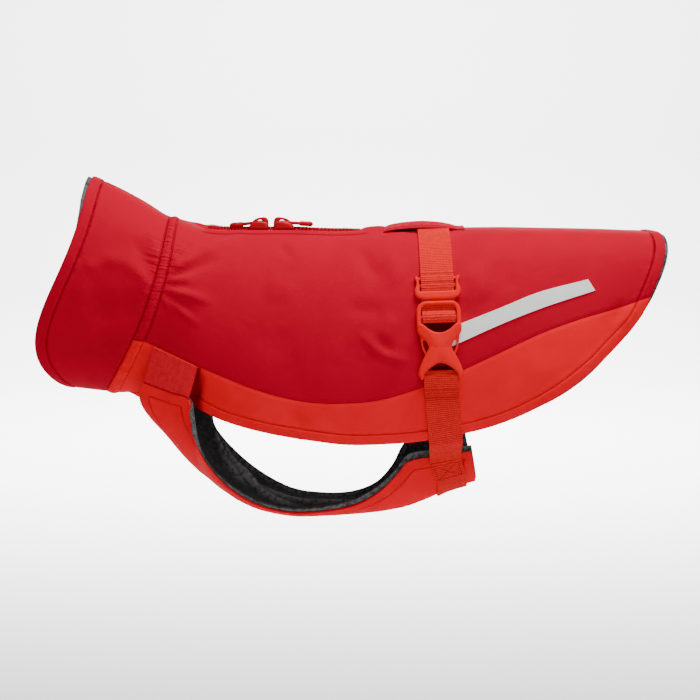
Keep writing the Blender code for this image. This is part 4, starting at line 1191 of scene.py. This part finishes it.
def upper_belt():
    right = [
        (0.0, CLEAR), (0.020, CLEAR), (GLIDE - 0.009, CLEAR), (GLIDE - 0.0035, 0.0011),
        (GLIDE, 0.0029), (GLIDE + 0.003, 0.0030), (GLIDE + 0.0080, 0.0029),
        (GLIDE + 0.0108, 0.0018), (GLIDE + 0.0130, CLEAR), (BUCKLE, CLEAR),
        (BUCKLE + 0.0060, CLEAR), (BUCKLE + 0.0078, 0.0010), (BUCKLE + 0.0094, 0.0033),
        (BUCKLE + 0.0120, 0.0041), (BUCKLE + 0.0146, 0.0033), (BUCKLE + 0.0160, 0.0012),
        (BUCKLE + 0.0168, CLEAR),
    ]
    left = [(-s, n) for s, n in reversed(right[1:])]
    way = track(left + right, 460)
    half = belt_across(13)
    faces = [coat(BELT_STATION + half, s, n) for s, n in strip_faces(way, WEBBING)]
    run = running(way)
    down = np.abs(way[:, :1]) + 0 * half
    # Painted shade on the webbing past the buckle's bar, where it turns down behind, and where it dives
    # under the adjuster's bars.
    deep = recess(1.0 * (down > BUCKLE + 0.0154), 0.40 * close_to(down, GLIDE - 0.0012, 0.0011),
                  0.35 * close_to(down, GLIDE + 0.0054, 0.0009))
    sew("belt_upper", faces, {"cloth": pair(run[:, None], half), "recess": deep}, webbing,
        "belt_over", (WEBBING_WIDTH, float(run[-1])))


upper_belt()


# %% Lower belt
BELT_SECTION = 16.0
SLANT = 0.06


def belt_section(u, share):
    """The belly section below a point of the belt; its sections lie further apart underneath."""
    drift = 0.30 * np.clip((1 - np.abs(share)) / 0.4, 0, 1) - 0.27
    return BELT_SECTION + u / (0.0168 + 0.0036 * (1 - np.abs(share) ** 2)) + drift


def belt_side(u, side):
    """One line of the belt, u from its middle, from the buckle to below the belly."""
    station = BELT_STATION + u
    hem = float(hem_length(station))
    way = np.array([
        (BUCKLE + 0.0540, 0.0029), (BUCKLE + 0.0562, 0.0029), (BUCKLE + 0.0585, 0.0026),
        (BUCKLE + 0.0612, 0.0014), (BUCKLE + 0.0645, CLEAR), (BUCKLE + 0.0740, CLEAR),
        (hem - 0.0100, CLEAR), (hem + 0.0040, CLEAR),
    ])
    drift = SLANT * np.clip(way[:, 0] - BUCKLE - 0.0640, 0, None)
    over = coat(station + drift, side * way[:, 0], way[:, 1])
    edge = belly(belt_section(u, 1.0), float(side), 0.0012)
    bridge = over[-1] * 0.5 + edge * 0.5 + np.array([0, side * 0.0014, 0.0006])
    shares = side * np.array([0.95, 0.88, 0.80, 0.70, 0.60, 0.50, 0.40, 0.30, 0.20, 0.10])
    rest = np.interp(np.abs(shares), [0.8, 0.95], [0.0007, 0.0012])
    return np.vstack([over, bridge[None], belly(belt_section(u, shares), shares, rest)])


def lower_belt():
    half = belt_across(11)
    columns = []
    for u in half:
        middle = belly(belt_section(u, 0.0), 0.0, 0.0007)
        line = np.vstack([belt_side(u, -1), middle[None], belt_side(u, 1)[::-1]])
        columns.append(smooth_line(line, 9))
    grid = np.stack(columns, axis=1)
    normal = np.cross(np.gradient(grid, axis=0), np.gradient(grid, axis=1))
    normal /= np.linalg.norm(normal, axis=2)[:, :, None]
    run = running(grid[:, 5])
    ends = [coat(BELT_STATION + half, side * (BUCKLE + 0.0728), WEBBING) for side in (-1, 1)]
    # Painted shadow on the lower webbing just below the end of each turned layer.
    deep = recess(0.45 * np.exp(-(edge_map(grid, *ends)[..., 0] / 0.0013) ** 2))
    sew("belt_lower", (grid + normal * WEBBING, grid),
        {"cloth": pair(run[:, None], half), "recess": deep}, webbing, "belt_under",
        (WEBBING_WIDTH, float(run[-1])))


lower_belt()


# %% Closed pieces from points and faces
def tube(base, rings, around):
    """Faces of a closed tube whose points are numbered from base, ring after ring."""
    places = [(base + around * k, j) for k in range(rings - 1) for j in range(around)]
    corners = [(start + j, start + (j + 1) % around) for start, j in places]
    last = base + around * (rings - 1)
    ends = [tuple(range(last, last + around)), tuple(range(base, base + around))[::-1]]
    return [(a, b, b + around, a + around) for a, b in corners] + ends


def hard_piece(name, verts, faces, finish, node=None, body="coat", sharp=None):
    """Turns the faces outwards and puts the piece into the frame."""
    mesh = bpy.data.meshes.new(name)
    mesh.from_pydata(verts, [], faces)
    work = bmesh.new()
    work.from_mesh(mesh)
    bmesh.ops.recalc_face_normals(work, faces=work.faces)
    work.to_mesh(mesh)
    work.free()
    mesh.shade_smooth()
    if sharp:
        mesh.set_sharp_from_angle(angle=math.radians(sharp))
    mesh.materials.append(finish.material)
    obj = add_object(name, mesh)
    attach(obj, body)
    if node:
        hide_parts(node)
    print(name, sum(len(p.vertices) - 2 for p in mesh.polygons), "triangles")


# %% Stitches as small rounded links
LINK = 0.0019


def stitches(name, lines, place, finish):
    """A row of stitches along each line ((u, v), (u, v)); place puts u, v, n in space."""
    verts, faces = [], []
    turns = np.arange(6) * math.pi / 3
    for (u0, v0), (u1, v1) in lines:
        length = math.hypot(u1 - u0, v1 - v0)
        du, dv = (u1 - u0) / length, (v1 - v0) / length
        for start in np.arange(0, length - LINK * 0.5, LINK):
            faces += tube(len(verts), 4, 6)
            for share, fat in ((0.04, 0.3), (0.2, 1.0), (0.6, 1.0), (0.76, 0.3)):
                along, side = start + share * LINK, np.cos(turns) * 0.00036 * fat
                up = np.sin(turns) * 0.00030 * fat
                verts += place(u0 + du * along - dv * side, v0 + dv * along + du * side, up).tolist()
    hard_piece(name, verts, faces, finish)


def thread_finish(name, base):
    finish = Finish(name, "orange_webbing", Roughness=0.6, IOR=1.10)
    twist = finish.noise(finish.place(), 1800.0, 1.0)
    finish.relief(twist * 0.00008)
    finish.colour(finish.mix(twist * 0.4, base, tint(base, 0.6)))
    return finish


dark_thread = thread_finish("dark_red_sewing_thread", rgb(0.44, 0.001, 0.014))
orange_thread = thread_finish("orange_sewing_thread", rgb(0.78, 0.008, 0.015))


def box_stitch(side, hand):
    """A box with a cross in it, where the belt is sewn to the belly panel."""
    def place(u, v, n):
        share = side * (0.93 - v / 0.062)
        return belly(belt_section(u - 0.0005, share), share, 0.0007 + WEBBING + n)

    wide, low, high = 0.0098, 0.0030, 0.0175
    corners = [(-wide, low), (wide, low), (wide, high), (-wide, high)]
    lines = list(zip(corners, corners[1:] + corners[:1]))
    lines += [(corners[0], corners[2]), (corners[1], corners[3])]
    stitches(f"box_stitch_{hand}", lines, place, dark_thread)


both_sides(box_stitch)


def turned_end(side, hand):
    """The short second layer of webbing below the buckle, with the stitches that hold it."""
    start, end = BUCKLE + 0.0560, BUCKLE + 0.0722
    seams = (end - 0.0024, end - 0.0050)
    across = belt_across(11)
    way = np.linspace(start, end, 23)[:, None]
    height = np.interp(way, [start, start + 0.004, start + 0.008, end - 0.001, end],
                       [0.0045, 0.0040, 0.0023, 0.0020, 0.0019])
    sunk = -0.0004 * sum(close_to(way, seam, 0.0007) for seam in seams)
    faces = [coat(BELT_STATION + across, side * way, height + thick) for thick in (WEBBING + sunk, 0.0)]
    # Painted shade under the layer's end and in the grooves of its stitches.
    deep = recess(0.4 * close_to(way, end, 0.0006), -550 * sunk, 0 * across)
    sew(f"belt_turned_end_{hand}", faces, {"cloth": pair(way - start, across), "recess": deep},
        webbing, None, (WEBBING_WIDTH, end - start))
    face = 0.0020 + WEBBING - 0.0002
    stitches(f"belt_turned_end_{hand}_stitches", [((-0.0115, v), (0.0115, v)) for v in seams],
             lambda u, v, n: coat(BELT_STATION + u, side * v, face + n), orange_thread)


both_sides(turned_end)


# %% Belt loop
loop_cloth = softshell("crimson_softshell_loop", CRIMSON, turned=0.0030)
LOOP_CLOTH = 0.0012


def belt_loop():
    way = track([
        (0.2500, 0.0008), (0.2525, 0.0018), (0.2565, 0.0032), (0.2640, 0.0042), (0.2730, 0.0048),
        (0.2820, 0.0049), (0.2940, 0.0038), (0.3030, 0.0021), (0.3085, CLEAR), (0.3140, CLEAR),
    ], 80)
    across = np.linspace(-LOOP_HALF, LOOP_HALF, 31)
    lower = 1 - 0.50 * (across / LOOP_HALF) ** 2
    faces = [coat(s, across, n * lower) for s, n in strip_faces(way, LOOP_CLOTH)]
    run = running(way)
    edge = edge_map(faces[0], faces[0][:, 0], faces[0][:, -1])
    sew("loop_on_spine", faces, {"cloth": pair(run[:, None], across), "edge": edge}, loop_cloth,
        "belt_loop", (2 * LOOP_HALF, float(run[-1])))


belt_loop()

# %% [markdown]
# ## Reflective stripe
#
# A grey film is pressed on the cloth on each side. It is flat and slightly grainy, and shines
# back more evenly than cloth does.


# %% Stripes
def stripe_finish():
    finish = Finish("reflective_film_beads", "reflective_film", Roughness=0.42, Metallic=0.08)
    place = finish.place()
    beads = finish.noise(place, 1500.0, 1.0)
    finish.relief(beads * 0.0001)
    tone = finish.noise(place, 120.0) * 0.6 + beads * 0.3
    finish.colour(finish.mix(tone, rgb(0.76, 0.77, 0.74), rgb(0.96, 0.96, 0.92)))
    return finish


stripe_film = stripe_finish()
FILM, STRIPE_WIDTH = 0.0005, 0.013


def stripe(side, hand):
    upper = ((0.0780, -0.0674), (0.1149, -0.0532), (0.1458, -0.0412), (0.1841, -0.0316))
    lower = ((0.0828, -0.0799), (0.1170, -0.0649), (0.1500, -0.0524), (0.1894, -0.0400))
    top = hermite(np.arange(4), upper, np.linspace(0.05, 3, 63))
    low = hermite(np.arange(4), lower, np.linspace(-0.18, 3, 63))
    down = np.linspace(0, 1, 9)[None, :, None]
    xz = top[:, None] + (low - top)[:, None] * down
    station, length = side_place(xz[..., 0], xz[..., 1])
    faces = layers(station, side * length, SEAM_GAP + FILM, FILM)
    flat = (STRIPE_WIDTH, float(running(faces[0][:, 4])[-1]))
    sew(f"stripe_{hand}", faces, {"cloth": pair(station, length)}, stripe_film,
        f"reflective_{hand}", flat)


both_sides(stripe)

# %% [markdown]
# ## Hardware
#
# Buckles and adjusters are moulded acetal: satin, with every edge rounded. Each part is drawn
# as a flat outline with holes, in millimetres, as a maker would cut it. A filled curve with a
# bevel turns the outline into a plate with round edges, and the plate is then laid on the coat.


# %% Rounding the corners of an outline
def rounded(points, radius, steps=5):
    """A closed outline whose corners are cut back by the radius and curved."""
    points = np.asarray(points, float)
    made = []
    for before, here, after in zip(np.roll(points, 1, 0), points, np.roll(points, -1, 0)):
        back, ahead = before - here, after - here
        long_back, long_ahead = np.linalg.norm(back), np.linalg.norm(ahead)
        start = here + back / long_back * min(radius, 0.48 * long_back)
        end = here + ahead / long_ahead * min(radius, 0.48 * long_ahead)
        for t in np.linspace(0, 1, steps):
            made.append(start * (1 - t) ** 2 + here * 2 * t * (1 - t) + end * t * t)
    return np.array(made)


def mirrored(half):
    """A whole outline from its left half, which runs from one middle point to the other."""
    half = np.asarray(half, float)
    return np.concatenate([half, [(-u, v) for u, v in half[::-1] if abs(u) > 1e-6]])


# %% From an outline to a plate on the coat
def plate_mesh(outlines, thick, edge):
    """A plate with round edges, in millimetres, lying across z = 0."""
    data = bpy.data.curves.new("outline", "CURVE")
    data.dimensions = "2D"
    data.fill_mode = "BOTH"
    data.extrude = thick / 2 - edge
    data.bevel_depth = edge
    data.bevel_resolution = 2
    data.offset = -edge
    for outline in outlines:
        spline = data.splines.new("POLY")
        spline.points.add(len(outline) - 1)
        spline.points.foreach_set("co", [c for u, v in outline for c in (u, v, 0.0, 1.0)])
        spline.use_cyclic_u = True
    drawn = bpy.data.objects.new("outline", data)
    bpy.context.scene.collection.objects.link(drawn)
    work = bmesh.new()
    work.from_mesh(drawn.evaluated_get(bpy.context.evaluated_depsgraph_get()).to_mesh())
    bpy.data.objects.remove(drawn)
    bmesh.ops.remove_doubles(work, verts=work.verts, dist=1e-4)
    return work


PLATE_STEP = 3.0


def divide(work, step):
    """Cuts a plate across every step millimetres, so that it can bend."""
    places = np.array([v.co[:2] for v in work.verts])
    for axis in (0, 1):
        normal = (1.0, 0.0, 0.0) if axis == 0 else (0.0, 1.0, 0.0)
        for at in np.arange(places[:, axis].min() + step * 0.6, places[:, axis].max(), step):
            point = tuple(at * n for n in normal)
            parts = work.verts[:] + work.edges[:] + work.faces[:]
            bmesh.ops.bisect_plane(work, geom=parts, plane_co=point, plane_no=normal, dist=1e-5)


def hardware(name, plates, place, finish, node, body="coat"):
    """One object from plates (outlines, low, high, edge, crown); place puts points in space."""
    verts, faces = [], []
    for outlines, low, high, edge, crown in plates:
        work = plate_mesh(outlines, high - low, edge)
        divide(work, PLATE_STEP)
        work.verts.index_update()
        flat = np.array([v.co[:] for v in work.verts])
        top = flat[:, 2] > 0
        flat[:, 2] += (low + high) / 2 - top * crown(flat[:, 0], flat[:, 1])
        faces += [[v.index + len(verts) for v in face.verts] for face in work.faces]
        verts += place(*(flat.T / 1000)).tolist()
        work.free()
    hard_piece(name, verts, faces, finish, node, body, sharp=50)


def level(u, v):
    return 0.0 * u


def on_belt(side, start):
    """u to the tail, v down from start, n out of the cloth."""
    return lambda u, v, n: coat(BELT_STATION + u, side * (start + v), n)


def bar(half, top, bottom):
    return rounded([(-half, top), (half, top), (half, bottom), (-half, bottom)], 0.6)


# %% Finish of mouldings and lacquered metal
def moulded(name, slot, base, roughness, grain, metallic=0.0):
    finish = Finish(name, slot, Roughness=roughness, Metallic=metallic, IOR=1.20)
    fine = finish.noise(finish.place(), grain)
    finish.relief(fine * 0.00004)
    finish.colour(finish.mix(fine * 0.3, base, tint(base, 1.15)))
    return finish


acetal = moulded("orange_acetal_satin", "orange_acetal", rgb(0.84, 0.003, 0.007), 0.42, 900.0)
lacquer = moulded("red_lacquer_on_zinc", "red_lacquered_zinc", rgb(0.50, 0.001, 0.014), 0.30, 700.0,
                  0.25)

# %% [markdown]
# ### Strap adjuster
#
# The adjuster has two prongs that stand beside the webbing, a thick bar below, and two thin
# bars that the webbing passes over.

# %% Strap adjuster
ADJUSTER = rounded(mirrored([
    (0.0, 18.6), (-10.6, 18.4), (-14.4, 17.6), (-16.6, 16.0), (-17.4, 13.8), (-17.5, 11.0),
    (-16.6, 8.8), (-16.0, 6.6), (-16.2, 3.6), (-17.3, 1.6), (-17.4, 0.2), (-16.0, -0.4),
    (-14.6, 0.4), (-14.0, 2.6), (-13.6, 6.0), (-13.6, 12.5), (0.0, 12.5),
]), 1.3)


def adjuster(side, hand):
    plates = [
        ([ADJUSTER], 0.6, 4.7, 1.3, lambda u, v: 0.9 * np.clip(1 - v / 12, 0, 1)),
        ([bar(15.0, 0.4, 2.8)], 0.5, 2.2, 0.7, level),
        ([bar(15.0, 6.2, 8.8)], 0.5, 2.2, 0.7, level),
    ]
    hardware(f"adjuster_{hand}", plates, on_belt(side, GLIDE), acetal, f"triglide_{hand}")


both_sides(adjuster)

# %% [markdown]
# ### Side-release buckle
#
# The upper half is a ladder with round corners and two spring arms. The lower half is the
# socket: a waisted body whose upper arms hold the springs, with an arch above the webbing.

# %% Buckle
LADDER = rounded(mirrored([
    (0.0, 0.0), (-11.2, 0.0), (-14.4, 1.6), (-16.3, 4.4), (-16.8, 8.0), (-16.8, 22.8),
    (-14.8, 25.9), (-14.5, 30.0), (-13.5, 35.2), (-11.4, 40.6), (-9.8, 40.0), (-12.1, 34.4),
    (-12.8, 29.6), (0.0, 29.6),
]), 1.6)
LADDER_WINDOW = rounded([
    (-10.2, 2.6), (-12.5, 4.4), (-13.3, 7.4), (-12.9, 24.6), (12.9, 24.6), (13.3, 7.4),
    (12.5, 4.4), (10.2, 2.6),
], 1.6)
SOCKET = rounded(mirrored([
    (0.0, 24.1), (-3.6, 23.6), (-8.0, 21.3), (-11.3, 18.2), (-13.6, 16.9), (-15.8, 17.2),
    (-16.9, 19.4), (-16.3, 22.8), (-13.8, 26.1), (-11.4, 29.2), (-9.2, 32.2), (-8.4, 34.6),
    (-9.2, 36.8), (-10.4, 39.0), (-11.7, 41.3), (-13.8, 45.4), (-15.6, 49.6), (-16.5, 52.6),
    (-16.4, 55.9), (-15.1, 58.5), (-13.7, 59.3), (-12.7, 58.0), (-12.3, 54.4), (-9.7, 51.7),
    (-6.2, 49.2), (-3.0, 47.3), (0.0, 46.7),
]), 1.2)


def socket_crown(u, v):
    """The socket is thickest along its four arms and dips a little in the middle."""
    arm = np.abs(np.abs(u) - np.abs(v - 35.0) * 0.62) / 6.0
    return 1.1 * np.clip(arm, 0, 1) ** 2 + 0.5 * (np.abs(u) / 17) ** 2


def buckle(side, hand):
    ladder = [
        ([LADDER, LADDER_WINDOW[::-1]], 1.4, 5.2, 1.3, lambda u, v: 0.8 * np.clip(v / 40, 0, 1)),
        ([bar(14.0, 10.6, 13.4)], 1.6, 3.4, 0.8, level),
    ]
    socket = [
        ([SOCKET], 2.2, 8.0, 1.5, socket_crown),
        ([bar(14.0, 52.4, 55.4)], 1.2, 2.9, 0.8, level),
    ]
    for part, plates, node in (("ladder", ladder, "male"), ("socket", socket, "female")):
        hardware(f"buckle_{part}_{hand}", plates, on_belt(side, BUCKLE), acetal,
                 f"buckle_{node}_{hand}")


both_sides(buckle)

# %% [markdown]
# ### Zip sliders and pulls
#
# Seen from the side a slider is a low wedge with an arch on it; the pull hangs from the arch.
# Both are drawn in side view, as they show, and given their width across the zip.

# %% Sliders and pulls
FRONT_SLIDER_X, REAR_SLIDER_X = -0.0739, -0.0527
BRIDGE_SHIFT, PULL_AXIS = 0.0016, 0.0071


def spine_station(x):
    return float(np.interp(x, GRID[:, MIDDLE, 0], STATIONS))


def upright(station, facing):
    """Side view drawn upright on the spine: u away from the pull, v up, n across."""
    return lambda u, v, n: coat(station - facing * u, n, v)


WEDGE = rounded([
    (-7.8, 1.2), (-8.2, 3.6), (-6.4, 5.6), (-3.0, 7.2), (1.0, 8.0), (6.0, 7.8), (8.6, 6.2),
    (9.2, 3.8), (8.8, 1.2),
], 1.2)
ARCH = rounded([
    (-6.4, 4.6), (-5.4, 7.6), (-2.6, 9.8), (1.0, 11.0), (5.4, 11.4), (8.0, 10.4), (9.0, 7.6),
    (9.0, 5.0), (4.0, 5.0), (4.0, 8.2), (2.6, 9.2), (0.6, 8.8), (-0.6, 7.6), (-0.8, 4.6),
], 0.7)


def slider(end, x, facing):
    plates = [([WEDGE], -4.6, 4.6, 1.6, level), ([ARCH], -1.9, 1.9, 0.9, level)]
    hardware(f"zip_slider_{end}", plates, upright(spine_station(x), facing), lacquer, f"slider_{end}")


PULL = rounded([
    (-2.2, -3.5), (1.0, -3.9), (8.0, -3.6), (15.0, -3.2), (20.5, -3.7), (24.0, -2.8), (25.0, 0.0),
    (24.0, 2.8), (20.5, 3.7), (15.0, 3.2), (8.0, 3.6), (1.0, 3.9), (-2.2, 3.5),
], 1.2)
PULL_EYE = rounded([(-0.8, -2.0), (-0.8, 2.0), (6.8, 2.1), (6.8, -2.1)], 0.9)
GRIP = rounded([(14.0, -3.0), (20.5, -3.4), (23.6, -2.4), (24.4, 0.0), (23.6, 2.4), (20.5, 3.4),
                (14.0, 3.0), (13.0, 0.0)], 1.2)


def pull(end, x, facing, droop):
    hinge = coat(spine_station(x), 0.0) + np.array([-facing * BRIDGE_SHIFT, 0.0, PULL_AXIS])
    turn = math.radians(droop)

    def place(u, v, n):
        out = facing * (u * math.cos(turn) + n * math.sin(turn))
        return hinge + np.stack([out, v, n * math.cos(turn) - u * math.sin(turn)], -1)

    plates = [
        ([PULL, PULL_EYE], -1.3, 1.3, 0.9, level),
        ([GRIP], -2.1, 2.1, 1.1, lambda u, v: 0.5 * np.sin(u * 2.4) ** 2),
    ]
    hardware(f"zip_pull_{end}", plates, place, lacquer, f"pull_{end}", f"{end}_pull")


slider("front", FRONT_SLIDER_X, -1)
slider("rear", REAR_SLIDER_X, 1)
pull("front", FRONT_SLIDER_X, -1, 6.0)
pull("rear", REAR_SLIDER_X, 1, 3.5)

# %% [markdown]
# ## Zip
#
# The zip runs along the spine between two welts. Its tape is a fine woven strip and its teeth
# are a nylon coil, here one small rounded link for each turn, left and right by turns.


# %% Zip tape and teeth
TAPE_WIDTH, TAPE_TOP = 0.018, 0.0011


def zip_tape():
    station = spread(ZIP_FROM, ZIP_TO, 0.0025)[:, None]
    across = np.linspace(-TAPE_WIDTH / 2, TAPE_WIDTH / 2, 13)
    faces = layers(station, across, TAPE_TOP, TAPE_TOP - SEAM_GAP)
    maps = {"cloth": pair(station, across), "recess": recess(0 * station, 0 * across)}
    sew("tape_of_zip", faces, maps, tape_cloth, "zip_tape", (TAPE_WIDTH, ZIP_TO - ZIP_FROM))


tape_cloth = woven("crimson_zip_tape_weave", "crimson_zip_tape", rgb(0.36, 0.001, 0.012),
                   rgb(0.44, 0.002, 0.016), rgb(0.20, 0.001, 0.008), 0.0008, 0.0008, 0.00008)
zip_tape()


def zip_teeth(pitch=0.0015):
    """One closed link for each turn of the coil: five rings of four corners."""
    verts, faces = [], []
    du, dn = np.array([(-0.5, 0.0), (-0.35, 1.0), (0.35, 1.0), (0.5, 0.0)]).T
    rings = [(-0.9, 0.6), (-0.6, 1.0), (0.9, 1.0), (2.3, 1.0), (2.9, 0.6)]
    for k, station in enumerate(np.arange(ZIP_FROM + 0.001, ZIP_TO - 0.001, pitch)):
        side = 1 if k % 2 else -1
        high = 0.0030 * min(1.0, 0.55 + (ZIP_TO - station) / 0.030)
        faces += tube(len(verts), len(rings), len(du))
        for across, slim in rings:
            out = 0.0008 + high * dn * slim
            verts += coat(station + du * pitch * 1.3 * slim, side * across * 0.001, out).tolist()
    hard_piece("teeth_of_zip", verts, faces, coil_nylon, "zip_coil", sharp=50)


coil_nylon = moulded("crimson_coil_nylon", "crimson_zip_coil", rgb(0.52, 0.001, 0.018), 0.4, 900.0)
zip_teeth()
